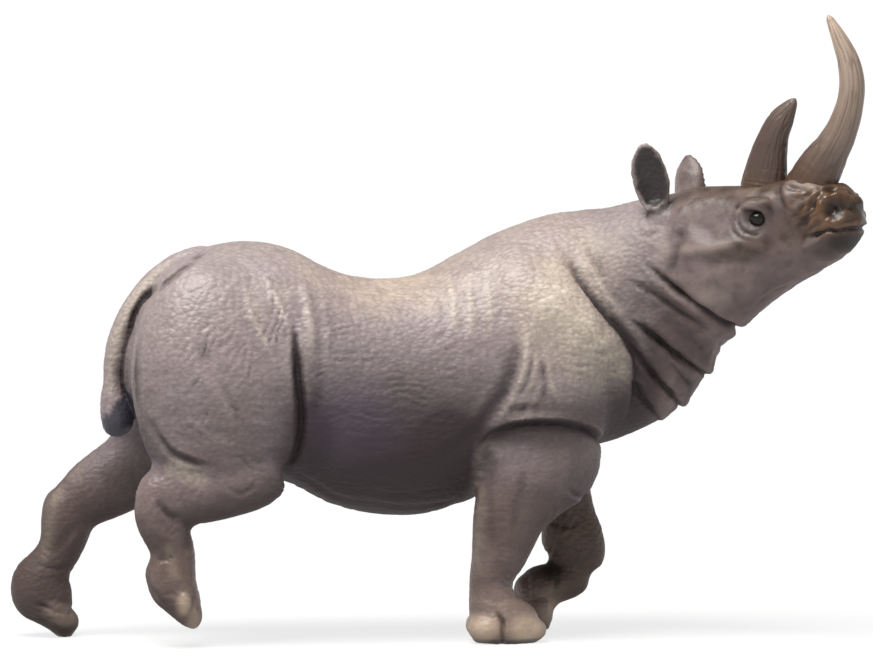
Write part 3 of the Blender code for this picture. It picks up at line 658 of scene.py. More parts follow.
# Folds of the body: which sides, the line of (x, z), half width, depth, lip on the left, lip on the right.
# The lines run down or forward, so the left of one that runs down is on its +X side.
BODY_FOLDS = [
    # the tail's root against the rump
    ("right", [(-44.0, 78.2), (-47.1, 77.2), (-49.6, 75.8), (-52.4, 74.2), (-55.5, 71.8),
               (-58.6, 69.1), (-61.0, 65.2), (-62.2, 58.0)], 0.4, 0.8, 0.0, 0.0),
    # flank crease, from the crow's foot below the hip to the groin, and the soft groove ahead of it
    ("both", [(-32.4, 66.0), (-31.7, 62.5), (-31.4, 56.7), (-30.8, 50.5), (-30.2, 45.9),
              (-30.6, 39.7), (-32.3, 35.0), (-35.0, 29.5)], 0.85, 1.5, 0.2, 0.1),
    ("both", [(-26.6, 64.0), (-26.9, 56.6), (-26.5, 51.1), (-27.8, 46.5),
              (-29.4, 41.0)], 1.2, 0.4, 0.1, 0.1),
    ("right", [(-40.8, 74.0), (-40.5, 68.3), (-39.8, 65.2), (-37.9, 60.6), (-36.0, 56.5),
               (-34.6, 50.0)], 0.5, -0.26, 0.0, 0.0),
    ("right", [(-42.4, 73.0), (-42.2, 67.6), (-41.4, 63.6), (-39.4, 59.0)], 1.0, 0.14, 0.0, 0.0),
    ("right", [(-37.4, 75.0), (-36.0, 71.4), (-34.4, 67.5), (-32.9, 63.7),
               (-32.6, 58.0)], 0.5, -0.26, 0.0, 0.0),
    ("right", [(-36.0, 69.0), (-35.4, 65.0), (-34.6, 61.0), (-34.4, 56.0)], 0.9, 0.12, 0.0, 0.0),
    ("right", [(-28.9, 74.0), (-28.7, 69.4), (-28.3, 62.2), (-28.1, 55.6)], 0.8, -0.4, 0.0, 0.0),
    ("right", [(-30.4, 71.0), (-30.4, 67.0), (-30.2, 62.2)], 0.7, 0.14, 0.0, 0.0),
    ("right", [(-25.2, 74.0), (-25.0, 67.4), (-25.2, 60.2), (-25.6, 52.6)], 0.8, -0.26, 0.0, 0.0),
    ("right", [(-50.0, 61.0), (-49.2, 57.6), (-48.0, 54.6), (-45.6, 52.6)], 1.6, 0.5, 0.0, 0.15),
    ("both", [(-47.4, 54.6), (-45.9, 51.0), (-44.2, 47.8), (-42.3, 44.0),
              (-40.1, 41.2)], 0.8, 0.24, 0.05, 0.12),
    ("right", [(-61.0, 46.0), (-59.2, 43.2), (-57.4, 40.5), (-55.6, 38.3), (-53.2, 37.2),
               (-50.2, 36.2), (-46.0, 36.0)], 0.7, 0.5, 0.3, 0.1),
    ("right", [(-46.0, 33.0), (-44.7, 31.6), (-42.3, 30.4), (-39.9, 31.9),
               (-38.0, 34.4)], 0.5, 0.22, 0.1, 0.1),
    # soft ribs behind the shoulder
    ("right", [(-1.2, 73.6), (-1.0, 67.0), (-1.8, 60.0)], 1.2, 0.16, 0.08, 0.08),
    ("right", [(2.2, 74.6), (2.3, 67.0), (1.6, 59.0)], 1.0, 0.22, 0.1, 0.1),
    ("right", [(5.4, 75.6), (5.3, 67.5), (4.4, 58.0)], 1.0, 0.22, 0.1, 0.1),
    ("right", [(9.6, 77.0), (9.7, 69.0), (9.4, 61.0)], 1.0, 0.18, 0.08, 0.1),
    ("right", [(4.2, 75.4), (6.2, 74.2), (7.8, 75.0)], 0.45, 0.2, 0.1, 0.1),
    # ridges of the fold behind the shoulder, hooked back at their feet, with the grooves between them
    ("both", [(13.4, 66.0), (14.2, 61.0), (14.2, 56.6), (13.1, 52.2), (10.9, 47.5), (7.2, 42.2),
              (4.4, 38.8)], 1.15, -0.75, 0.0, 0.0),
    ("both", [(11.8, 65.0), (12.2, 60.4), (12.0, 56.0), (10.6, 51.4), (8.0, 47.2),
              (4.8, 43.4)], 1.5, 0.5, 0.0, 0.0),
    ("both", [(16.3, 60.4), (16.1, 56.0), (14.8, 51.2), (12.6, 47.2), (9.8, 43.8)], 0.95, -0.5, 0.0, 0.0),
    ("both", [(15.1, 59.6), (15.0, 55.4), (13.9, 51.2), (11.9, 47.4)], 0.7, 0.3, 0.0, 0.0),
    ("both", [(17.9, 60.4), (18.4, 55.6), (19.0, 51.2), (21.0, 47.2)], 0.9, -0.4, 0.0, 0.0),
    ("both", [(18.4, 54.6), (16.8, 50.8), (15.4, 47.6), (13.4, 44.6)], 0.8, -0.35, 0.0, 0.0),
    ("both", [(17.1, 56.6), (17.7, 52.4), (17.5, 48.6), (18.2, 45.8)], 0.8, 0.32, 0.0, 0.0),
    ("right", [(1.6, 45.4), (4.0, 48.6), (5.2, 53.0), (5.4, 57.4)], 1.3, 0.2, 0.0, 0.0),
    # the shoulder blade's ridge
    ("both", [(12.6, 82.0), (13.8, 77.0), (17.0, 71.5), (22.0, 65.4), (27.0, 60.4), (31.4, 56.0),
              (33.6, 49.0), (32.6, 43.0)], 3.4, -1.0, 0.0, 0.0),
    # skirt of skin that hangs over the fore leg
    ("both", [(3.2, 35.6), (5.4, 39.2), (7.4, 41.8), (11.0, 43.2), (18.0, 43.9), (25.0, 42.9),
              (29.6, 40.7), (32.2, 36.8), (32.6, 33.4)], 0.5, 0.95, 0.35, 0.0),
    ("both", [(6.4, 45.2), (12.0, 46.4), (19.0, 46.6), (25.4, 45.4)], 0.7, 0.18, 0.1, 0.0),
    # shoulder against neck: its front edge and the two thin ridges beside it
    ("both", [(26.6, 70.4), (29.2, 66.2), (31.4, 63.3), (34.3, 60.0), (36.2, 56.6), (36.9, 52.4),
              (36.8, 47.9), (35.4, 42.6)], 1.3, 0.9, 0.1, 0.1),
    ("both", [(22.0, 80.0), (24.6, 74.6), (27.6, 69.0), (31.4, 64.0), (36.0, 60.6)], 1.1, 0.55, 0.1, 0.2),
    ("both", [(25.4, 81.6), (27.2, 77.0), (29.4, 71.6), (32.2, 66.8), (36.4, 62.4)], 0.8, -0.35, 0.0, 0.0),
    ("both", [(28.6, 79.0), (30.0, 74.6), (32.0, 69.8), (35.4, 65.4)], 0.9, 0.35, 0.0, 0.15),
    # jaw against neck, and the rolls of the throat
    ("both", [(36.4, 77.0), (39.6, 74.0), (43.4, 70.8), (47.6, 67.4), (52.6, 63.9), (57.0, 62.2),
              (61.0, 61.4), (65.0, 61.0)], 0.75, 1.3, 0.15, 0.1),
    ("both", [(34.6, 73.0), (37.2, 71.0), (41.7, 68.0), (46.2, 65.2), (50.4, 62.6),
              (55.0, 60.6)], 0.8, 0.7, 0.1, 0.1),
    ("both", [(34.4, 64.8), (37.9, 62.6), (42.0, 59.5), (45.6, 56.8), (50.0, 54.2),
              (55.0, 51.6)], 0.85, 1.4, 0.15, 0.1),
    ("both", [(39.4, 65.4), (42.6, 63.4), (46.0, 61.0), (50.1, 58.6), (54.9, 56.0)], 1.0, 0.45, 0.0, 0.0),
    ("both", [(34.6, 60.0), (37.0, 57.4), (40.4, 53.6), (43.8, 50.2), (47.0, 47.4),
              (50.0, 45.0)], 0.8, 1.2, 0.15, 0.1),
    ("both", [(43.0, 56.6), (46.0, 53.4), (48.6, 51.0), (51.6, 49.0)], 0.7, 0.6, 0.1, 0.1),
    ("both", [(36.4, 52.0), (38.4, 49.0), (40.8, 46.6), (44.0, 43.6)], 0.8, 0.8, 0.15, 0.1),
    ("both", [(53.0, 60.6), (55.4, 58.6), (57.6, 57.0)], 0.6, 0.4, 0.1, 0.1),
    # grooves of the right fore leg and its wrist
    ("right", [(9.0, 39.4), (9.9, 31.8), (9.9, 23.3), (9.1, 16.0)], 1.2, 0.25, 0.1, 0.2),
    ("right", [(14.2, 35.8), (13.9, 28.2), (12.8, 22.6)], 0.9, 0.18, 0.1, 0.1),
    ("right", [(7.4, 31.4), (7.3, 20.2), (6.0, 11.6)], 0.8, 0.15, 0.1, 0.1),
    ("right", [(4.3, 12.4), (8.0, 11.4), (12.4, 12.2)], 0.8, 0.16, 0.05, 0.05),
    ("right", [(4.2, 9.8), (8.2, 8.8), (12.6, 9.6)], 0.8, 0.12, 0.05, 0.05),
    # left fore leg, seen past the right one
    ("both", [(21.6, 31.4), (25.6, 28.8), (30.6, 29.0)], 0.5, 0.25, 0.12, 0.12),
    ("both", [(23.8, 23.0), (27.2, 21.2), (31.4, 22.2)], 0.5, 0.22, 0.12, 0.12),
    ("both", [(24.2, 6.4), (26.0, 9.2), (25.4, 13.0)], 0.5, 0.5, 0.1, 0.2),
    ("both", [(20.8, 12.0), (20.0, 8.4), (20.8, 4.6)], 0.45, 0.3, 0.1, 0.1),
    # hock, shank and heel of the hind legs
    ("right", [(-58.6, 29.8), (-58.0, 28.4), (-56.5, 26.6), (-53.2, 25.1)], 0.6, 0.3, 0.1, 0.1),
    ("right", [(-53.4, 26.4), (-52.3, 22.4), (-52.8, 18.6)], 0.7, 0.3, 0.1, 0.1),
    ("right", [(-59.4, 17.2), (-56.6, 17.8), (-53.6, 18.4)], 0.6, 0.3, 0.05, 0.1),
    ("right", [(-60.2, 16.6), (-60.0, 13.4), (-57.3, 9.2), (-55.0, 7.2),
               (-51.6, 4.2)], 0.45, 0.32, 0.2, 0.1),
    ("both", [(-70.0, 23.4), (-73.0, 20.4), (-75.6, 16.6)], 0.9, 0.25, 0.1, 0.1),
    ("both", [(-80.2, 15.4), (-76.0, 13.8), (-71.0, 14.8)], 0.45, 0.3, 0.12, 0.2),
    ("both", [(-82.0, 7.0), (-78.2, 6.6), (-75.6, 5.4), (-73.0, 5.2), (-70.2, 7.0)], 0.42, 0.35, 0.2, 0.1),
    ("both", [(-67.0, 34.6), (-63.6, 30.0), (-60.4, 26.8)], 1.1, 0.22, 0.1, 0.1),
    # long creases of the belly
    ("right", [(-33.6, 36.6), (-31.7, 35.0), (-26.9, 32.0), (-22.2, 29.2),
               (-14.0, 27.6)], 0.5, 0.25, 0.12, 0.12),
    ("right", [(-22.6, 31.8), (-19.1, 31.0), (-11.2, 29.6), (-3.2, 30.3),
               (5.4, 33.2)], 0.55, 0.22, 0.12, 0.12),
    ("right", [(-18.0, 28.6), (-9.0, 27.0), (0.0, 27.6), (6.0, 30.4)], 0.5, 0.2, 0.1, 0.1),
    ("right", [(-6.6, 33.6), (-0.6, 38.0), (4.2, 42.1), (7.4, 46.2)], 1.5, 0.4, 0.1, 0.0),
]

# Loose skin that rolls up to a fold: which sides, the line, reach, rise on the left, rise on the right
ROLLS = [
    ("both", [(-31.0, 66.0), (-31.2, 56.6), (-31.0, 51.2), (-30.6, 45.8), (-30.6, 40.0),
              (-32.4, 33.0)], 2.4, 0.45, 0.0),
    ("both", [(-31.2, 62.0), (-31.2, 54.0), (-30.7, 45.8), (-30.6, 40.0), (-33.0, 31.0)], 6.0, 0.0, 0.6),
    ("both", [(5.0, 37.0), (7.4, 41.6), (11.0, 43.0), (18.0, 43.7), (25.0, 42.7), (29.6, 40.5),
              (32.4, 36.0)], 2.2, 0.75, 0.0),
    ("both", [(22.0, 76.0), (29.0, 66.4), (34.3, 60.2), (36.3, 56.8), (37.0, 52.0), (36.6, 46.0),
              (35.0, 41.0)], 4.5, 0.0, 1.0),
    ("both", [(38.0, 75.6), (43.4, 70.8), (47.6, 67.4), (52.6, 63.9), (57.0, 62.2), (61.0, 61.4),
              (67.0, 61.0)], 3.4, 0.7, 1.0),
    ("both", [(34.4, 64.8), (42.0, 59.5), (45.6, 56.8), (50.0, 54.2), (58.0, 50.2)], 3.8, 1.6, 0.5),
    ("both", [(34.6, 60.0), (40.4, 53.6), (43.8, 50.2), (47.0, 47.4), (53.0, 42.6)], 3.2, 1.4, 0.4),
    ("both", [(35.4, 54.0), (38.4, 49.0), (40.8, 46.6), (46.0, 41.6)], 2.8, 1.2, 0.2),
]

# Clefts between the toes and the nails' upper edges
TOE_FOLDS = [
    ("right", [(7.8, 7.8), (8.8, 6.2), (9.7, 4.6), (9.7, 2.4), (10.2, -3.0)], 0.42, 1.2, 0.2, 0.2),
    ("right", [(2.6, 4.4), (4.6, 6.2), (7.0, 6.6), (9.0, 5.0)], 0.8, 0.16, 0.1, 0.0),
    ("right", [(10.4, 5.2), (12.6, 7.0), (15.2, 6.6), (17.6, 4.9), (19.2, 3.0)], 0.8, 0.16, 0.1, 0.0),
    ("right", [(-54.8, 10.6), (-52.8, 11.5), (-51.3, 9.6), (-51.4, 6.8)], 0.38, 0.35, 0.1, 0.0),
    ("right", [(-51.4, 9.2), (-50.0, 7.0), (-50.4, 4.0)], 0.38, 0.3, 0.1, 0.1),
    ("both", [(-82.4, 5.4), (-79.5, 3.7), (-77.0, 3.3), (-73.9, 1.6), (-70.8, 2.6)], 0.45, 0.5, 0.3, 0.0),
    ("both", [(22.0, 6.4), (24.2, 7.0), (26.4, 5.8)], 0.6, 0.2, 0.1, 0.0),
]

# Folds of the face, in the head's (x, z)
HEAD_FOLDS = [
    # mouth, chin and the corner wrinkles
    ("both", [(25.8, -10.2), (28.3, -9.3), (30.4, -8.8), (32.2, -8.1), (34.0, -8.3), (35.6, -7.8),
              (37.6, -7.6), (40.6, -8.4)], 0.38, 0.95, 0.2, 0.15),
    ("both", [(37.0, -12.0), (34.2, -13.2), (31.0, -13.0)], 0.5, 0.3, 0.15, 0.1),
    ("both", [(26.6, -11.6), (27.4, -9.6), (29.0, -7.6)], 0.4, 0.25, 0.1, 0.2),
    ("both", [(29.4, -10.4), (30.2, -8.6), (31.4, -7.2)], 0.36, 0.2, 0.1, 0.15),
    ("both", [(25.0, -8.6), (27.2, -6.4), (29.6, -4.8)], 0.5, 0.2, 0.1, 0.15),
    ("both", [(26.0, -2.6), (28.2, -0.9), (30.6, 0.6)], 0.4, 0.2, 0.1, 0.2),
    # nostril wing
    ("both", [(31.4, -6.2), (30.9, -4.0), (31.7, -2.0), (33.4, -1.2), (35.0, -1.8), (35.7, -3.6),
              (34.9, -5.6), (33.4, -6.3)], 0.6, -0.6, 0.0, 0.0),
    ("both", [(29.4, -6.8), (29.3, -4.0), (30.3, -1.2), (32.4, 0.2), (35.0, 0.3)], 0.55, 0.5, 0.1, 0.1),
    ("both", [(27.0, -8.6), (28.0, -5.6), (29.0, -2.6), (30.4, -0.4)], 0.6, 0.45, 0.1, 0.2),
    ("both", [(24.8, -7.4), (26.0, -4.4), (27.2, -1.8)], 0.7, 0.35, 0.1, 0.2),
    ("both", [(31.6, -7.0), (33.8, -7.4), (35.8, -6.2), (37.4, -4.6)], 0.45, 0.3, 0.1, 0.1),
    # lids and the ring folds about the eye
    ("both", [(12.4, -7.2), (13.8, -4.6), (15.6, -3.7), (17.4, -3.6), (19.0, -4.4), (20.2, -6.6),
              (20.4, -9.0)], 0.6, -0.6, 0.0, 0.0),
    ("both", [(12.0, -5.4), (13.6, -3.2), (15.8, -2.2), (18.4, -2.2), (20.4, -3.8),
              (21.4, -6.6)], 0.45, 0.45, 0.1, 0.2),
    ("both", [(14.0, -4.8), (14.5, -7.0), (15.6, -8.4), (17.5, -9.0), (20.0, -8.2)], 0.36, 0.3, 0.2, 0.1),
    ("both", [(12.8, -6.0), (13.8, -8.6), (16.1, -10.0), (18.4, -10.2)], 0.42, 0.18, 0.1, 0.1),
    # post of skin between the horns, and the creases beside it
    ("both", [(20.6, 2.4), (21.2, 0.0), (22.4, -2.2), (24.2, -4.8)], 0.5, 0.4, 0.35, 0.1),
    ("both", [(22.6, 2.2), (23.0, 0.6), (26.0, -0.2), (29.6, -0.6)], 0.42, 0.18, 0.1, 0.1),
    # horn bases
    ("both", [(24.4, 2.8), (27.3, 2.0), (29.4, 1.3), (32.2, 1.5), (36.2, 2.4)], 0.5, 0.5, 0.25, 0.2),
    ("both", [(10.6, 1.6), (13.6, 1.1), (15.8, 0.7), (17.6, 1.3), (20.8, 3.0),
              (22.8, 4.8)], 0.45, 0.3, 0.12, 0.2),
    # cheek bone, jaw and jowl
    ("both", [(0.0, -12.4), (2.5, -12.1), (6.5, -11.8), (10.8, -11.4), (13.7, -11.0), (17.3, -10.9),
              (21.0, -12.0)], 1.3, -0.75, 0.0, 0.0),
    ("both", [(3.6, -2.6), (3.2, -4.7), (2.3, -7.9), (1.8, -11.8), (0.7, -15.6),
              (-1.4, -19.4)], 0.9, 0.45, 0.1, 0.15),
    ("both", [(3.0, -14.8), (7.4, -15.0), (12.0, -14.4), (17.0, -14.0), (22.0, -14.8)], 1.8, 0.5, 0.0, 0.0),
    ("both", [(10.4, -28.6), (13.9, -25.6), (16.4, -23.2), (20.0, -20.9), (23.5, -19.2),
              (28.6, -16.6), (32.0, -14.6)], 0.8, 0.9, 0.35, 0.1),
    # behind the ear's foot
    ("right", [(-8.6, -8.0), (-5.4, -9.4), (-2.0, -8.2)], 0.5, 0.2, 0.12, 0.12),
    ("right", [(-3.0, -11.0), (1.4, -9.2), (5.0, -9.0)], 0.6, 0.15, 0.1, 0.1),
]

# Soft swells and hollows: sides, frame, centre (x, z), radii, height
SWELLS = [
    ("both", "body", (-46.0, 57.0), (11.0, 12.0), 0.6),
    ("both", "body", (-36.0, 46.0), (4.0, 8.0), 0.3),
    ("both", "body", (20.0, 66.0), (6.0, 6.0), 0.5),
    ("both", "body", (27.5, 58.0), (5.0, 7.0), 0.8),
    ("both", "body", (21.0, 49.0), (7.0, 4.0), 0.35),
    ("both", "body", (13.0, 74.0), (4.0, 6.0), 0.15),
    ("both", "body", (20.0, 33.0), (6.0, 6.0), 0.4),
    ("right", "body", (5.2, 27.0), (1.7, 10.0), 0.25),
    ("both", "body", (32.5, 73.0), (2.6, 5.0), 0.45),
    ("both", "body", (38.0, 66.0), (3.0, 3.0), -0.3),
    ("both", "head", (8.0, -6.2), (5.4, 3.4), -1.0),
    ("both", "head", (24.0, -7.6), (4.6, 5.4), -0.8),
    ("both", "head", (14.0, -19.0), (6.0, 2.4), -0.3),
    ("both", "head", (7.0, -19.0), (6.5, 5.0), 0.5),
    ("both", "head", (21.0, -14.5), (5.0, 2.6), -0.3),
    ("both", "head", (23.0, -1.4), (1.6, 2.4), 0.3),
    ("both", "head", (30.6, -12.6), (3.4, 2.0), 0.3),
    ("both", "head", (17.5, -6.1), (2.1, 1.8), -0.5),
    ("both", "head", (17.0, -1.6), (4.6, 1.4), 0.35),
]

NOSTRILS = [((33.5, -3.8), 1.8, 2.1), ((36.6, -3.2), 1.1, 1.2)]

normals = point_normals(skin, skin_faces)
facing = {"both": np.ones(len(skin)), "right": smooth_step(0.5 - 2.0 * normals[:, 1])}
head_skin = to_head(skin)
flat_body = skin[:, [0, 2]]
flat_head = head_skin[:, [0, 2]]
on_face = smooth_step((head_skin[:, 0] + 10) / 6)
height = np.zeros(len(skin))
for sides, line, half, depth, left, right in BODY_FOLDS + TOE_FOLDS:
    add_fold(height, flat_body, facing[sides], line, half, depth, left, right)
for sides, line, reach, left, right in ROLLS:
    add_roll(height, flat_body, facing[sides], line, reach, left, right)
for sides, line, half, depth, left, right in HEAD_FOLDS:
    add_fold(height, flat_head, facing[sides] * on_face, line, half, depth, left, right)
for sides, where, centre, radii, rise in SWELLS:
    if where == "body":
        height += rise * patch(skin, centre, radii) * facing[sides]
    else:
        height += rise * patch(head_skin, centre, radii) * facing[sides] * on_face
for centre, half, depth in NOSTRILS:
    beside = smooth_step((np.abs(head_skin[:, 1]) - 2.0) / 1.0)
    height -= depth * patch(head_skin, centre, (half, half)) * beside * on_face
skin = skin + normals * height[:, None]
skin = relaxed(skin, skin_faces, 1)
normals = point_normals(skin, skin_faces)

# Hide: creases that follow the pull of the skin, by patches, then pebbles all over.
# Each patch has its centre and radii in (x, z), the way that the creases run, the way across them, their
# length, pitch and depth in mm.
ALONG = (1.0, 0.0, 0.0)
UP = (0.0, 0.0, 1.0)
CREASE_PATCHES = [
    ((-50.0, 56.0), (12.0, 14.0), (0.55, 0.0, 0.835), (0.835, 0.0, -0.55), 5.0, 1.8, 0.15),
    ((-38.0, 60.0), (9.0, 12.0), (0.35, 0.0, 0.937), (0.937, 0.0, -0.35), 6.0, 1.8, 0.13),
    ((-44.0, 40.0), (12.0, 8.0), (0.9, 0.0, -0.436), (0.436, 0.0, 0.9), 6.0, 1.8, 0.13),
    ((-14.0, 56.0), (20.0, 18.0), ALONG, UP, 5.0, 1.7, 0.14),
    ((-12.0, 30.0), (24.0, 9.0), ALONG, UP, 10.0, 1.6, 0.15),
    ((27.0, 53.0), (6.0, 8.0), (0.97, 0.0, -0.24), (0.24, 0.0, 0.97), 5.0, 1.6, 0.12),
    ((25.0, 66.0), (6.0, 8.0), (0.9, 0.0, -0.436), (0.436, 0.0, 0.9), 4.0, 1.5, 0.10),
    ((44.0, 58.0), (11.0, 11.0), (0.74, 0.0, -0.67), (0.67, 0.0, 0.74), 7.0, 1.8, 0.14),
    ((40.0, 72.0), (8.0, 8.0), (0.6, 0.0, -0.8), (0.8, 0.0, 0.6), 7.0, 2.2, 0.10),
    ((17.0, 30.0), (9.0, 10.0), (0.3, 0.0, 0.954), (0.954, 0.0, -0.3), 8.0, 2.4, 0.10),
    ((9.0, 12.0), (8.0, 8.0), ALONG, UP, 4.0, 1.5, 0.10),
    ((28.0, 18.0), (9.0, 14.0), (0.4, 0.0, 0.917), (0.917, 0.0, -0.4), 5.0, 1.5, 0.14),
    ((-54.0, 26.0), (9.0, 8.0), (0.5, 0.0, 0.866), (0.866, 0.0, -0.5), 4.5, 1.7, 0.12),
    ((-55.0, 12.0), (7.0, 7.0), ALONG, UP, 4.0, 1.5, 0.10),
    ((-70.0, 28.0), (10.0, 9.0), (0.5, 0.0, 0.866), (-0.866, 0.0, 0.5), 7.0, 2.6, 0.07),
    ((-77.0, 12.0), (8.0, 8.0), ALONG, UP, 4.0, 1.5, 0.12),
]

# The same on the muzzle and about the eye, in the head's frame, and last each one's noise seed
FACE_CREASES = [
    ((30.0, -5.0), (7.0, 7.0), (0.8, 0.0, 0.6), (-0.6, 0.0, 0.8), 3.0, 1.6, 0.14, 171),
    ((18.0, -6.0), (6.0, 5.0), (0.9, 0.0, -0.436), (0.436, 0.0, 0.9), 4.0, 1.4, 0.07, 183),
]
height = np.zeros(len(skin))
for number, (centre, radii, along, across, length, pitch, depth) in enumerate(CREASE_PATCHES):
    lines = creases(skin, along, across, length, pitch, 40 + 5 * number)
    height -= depth * patch(skin, centre, radii) * lines
head_skin = to_head(skin)
for centre, radii, along, across, length, pitch, depth, seed in FACE_CREASES:
    place = patch(head_skin, centre, radii) * on_face
    height -= depth * place * creases(head_skin, along, across, length, pitch, seed)

# Knobs of the muzzle, 1.2 mm across
knobs = patch(head_skin, (33.0, -0.5), (5.0, 3.4)) * on_face
height += 0.42 * knobs * lattice_noise(*head_skin.T / 1.2, 197)

# Broad and small forms of the skull under the skin
forms = lattice_noise(head_skin[:, 0] / 3.2, head_skin[:, 1] / 3.2, head_skin[:, 2] / 2.6, 211)
forms += 0.6 * lattice_noise(head_skin[:, 0] / 1.5, head_skin[:, 1] / 1.5, head_skin[:, 2] / 1.3, 223)
height += 0.16 * forms * on_face

# How far each point lies below the skin around it, near and wide, before the pebbles: it steers the paint,
# with the painted shade in the hollows and the painted highlight on the crests
creased = skin + normals * height[:, None]
near_mean = relaxed(creased, skin_faces, 6)
wide_mean = relaxed(near_mean, skin_faces, 60)
near_dip = ((near_mean - creased) * normals).sum(1)
wide_dip = ((wide_mean - near_mean) * normals).sum(1)

# Pebbles drawn a third longer than high, as the hide's cells are stretched along the body
PEBBLE_PITCH_MM = 1.25
calm = patch(head_skin, (12.0, -8.0), (22.0, 18.0)) * on_face
hide = pebbles(skin * (0.75, 1.0, 1.0), PEBBLE_PITCH_MM, 5)
lumps = lattice_noise(skin[:, 0] / 2.8, skin[:, 1] / 2.0, skin[:, 2] / 1.9, 17)
on_legs = smooth_step((34 - skin[:, 2]) / 8)
height += (1 - 0.8 * calm) * (1 - 0.6 * on_legs) * (0.06 * hide + 0.09 * lumps - 0.05)
skin = skin + normals * height[:, None]

# Thinned to what one piece may hold, keeping most triangles where the relief is
SKIN_TRIANGLES = 196000
whole = mesh_from("whole", skin, skin_faces)
for key, values in (("near_dip", near_dip), ("wide_dip", wide_dip), ("hide", hide)):
    whole.data.attributes.new(key, "FLOAT", "POINT").data.foreach_set("value", values.astype(np.float32))
thin = whole.modifiers.new("thin", "DECIMATE")
thin.ratio = SKIN_TRIANGLES / len(skin_faces)
skin, skin_faces, carried = triangles_of(whole, ("near_dip", "wide_dip", "hide"))
skin[:, 2] = np.maximum(skin[:, 2], 0.0)
normals = point_normals(skin, skin_faces)


# The figure's place: one scale and shift bring the skin's length and width into the frame's box for the
# casting, and its soles to the floor. The horns stay within that length and width.
box_low, box_high = (1000 * np.array(corner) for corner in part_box("rhinoceros"))
skin_low = skin.min(0)
skin_high = skin.max(0)
SCALE = np.min((box_high - box_low)[:2] / (skin_high - skin_low)[:2])
SHIFT = 0.5 * (box_low + box_high) - 0.5 * SCALE * (skin_low + skin_high)
SHIFT[2] = box_low[2] - SCALE * skin_low[2]


def placed(points):
    """Points of the sculptor's frame in mm, in the frame's own metres."""
    return (np.asarray(points, float) * SCALE + SHIFT) / 1000


# Paint of the skin
#
# The real casting was sprayed mauve grey, airbrushed beige above and plum below, washed dark in its folds and
# dry brushed on its crests, by hand. Here that paint also stands for light and shade: the beige above and the
# pale on the crests are partly painted light, and the plum below and the dark in the folds and hollows are
# partly painted shade. Each paint has a mask: a number from 0 to 1 at each point of the skin.

# Places on the face, in the head's (x, z): centre and radii
FACE_PLACES = {
    "muzzle_top": ((31.0, 0.0), (7.5, 4.5)),
    "nose": ((34.0, -4.0), (6.0, 5.4)),
    "brow": ((8.0, 0.0), (11.0, 4.0)),
    "behind_eye": ((16.0, -11.5), (6.5, 3.0)),
    "rear_horn_foot": ((17.0, 1.5), (5.5, 3.0)),
    "side_of_nose": ((25.5, -7.0), (6.0, 5.0)),
    "lower_lip": ((35.6, -10.2), (3.6, 2.2)),
    "eye_rim": ((17.3, -6.0), (2.7, 2.3)),
    "chin": ((31.0, -11.6), (5.0, 2.4)),
}

# How much brown glaze each place has, and how much painted shade each opening has
GLAZED = {
    "muzzle_top": 1.0,
    "nose": 1.0,
    "brow": 0.75,
    "behind_eye": 0.6,
    "rear_horn_foot": 1.0,
    "side_of_nose": 0.7,
}
SHADED_OPENINGS = {"lower_lip": 0.9, "eye_rim": 0.75, "chin": 0.5}

# Painted shade, laid as by an airbrush: centre (x, z) and radii in the body's frame, and how much
SHADES = [
    ((-8.0, 36.0), (27.0, 16.0), 0.57),
    ((-12.0, 27.0), (28.0, 8.0), 0.60),
    ((0.0, 38.0), (6.0, 7.0), 0.45),
    ((-14.0, 47.0), (22.0, 15.0), 0.34),
    ((-28.5, 42.0), (4.5, 11.0), 0.45),
    ((50.0, 55.0), (12.0, 11.0), 0.85),
    ((42.0, 64.0), (10.0, 10.0), 0.60),
    ((40.0, 46.0), (8.0, 8.0), 0.74),
    ((20.0, 41.6), (13.0, 4.0), 0.42),
    ((25.0, 45.4), (9.0, 3.4), 0.42),
    ((24.0, 33.0), (6.0, 6.0), 0.30),
    ((62.0, 66.0), (10.0, 6.0), 0.60),
    ((52.0, 50.0), (7.0, 7.0), 0.40),
    ((36.0, 78.0), (10.0, 8.0), 0.30),
]
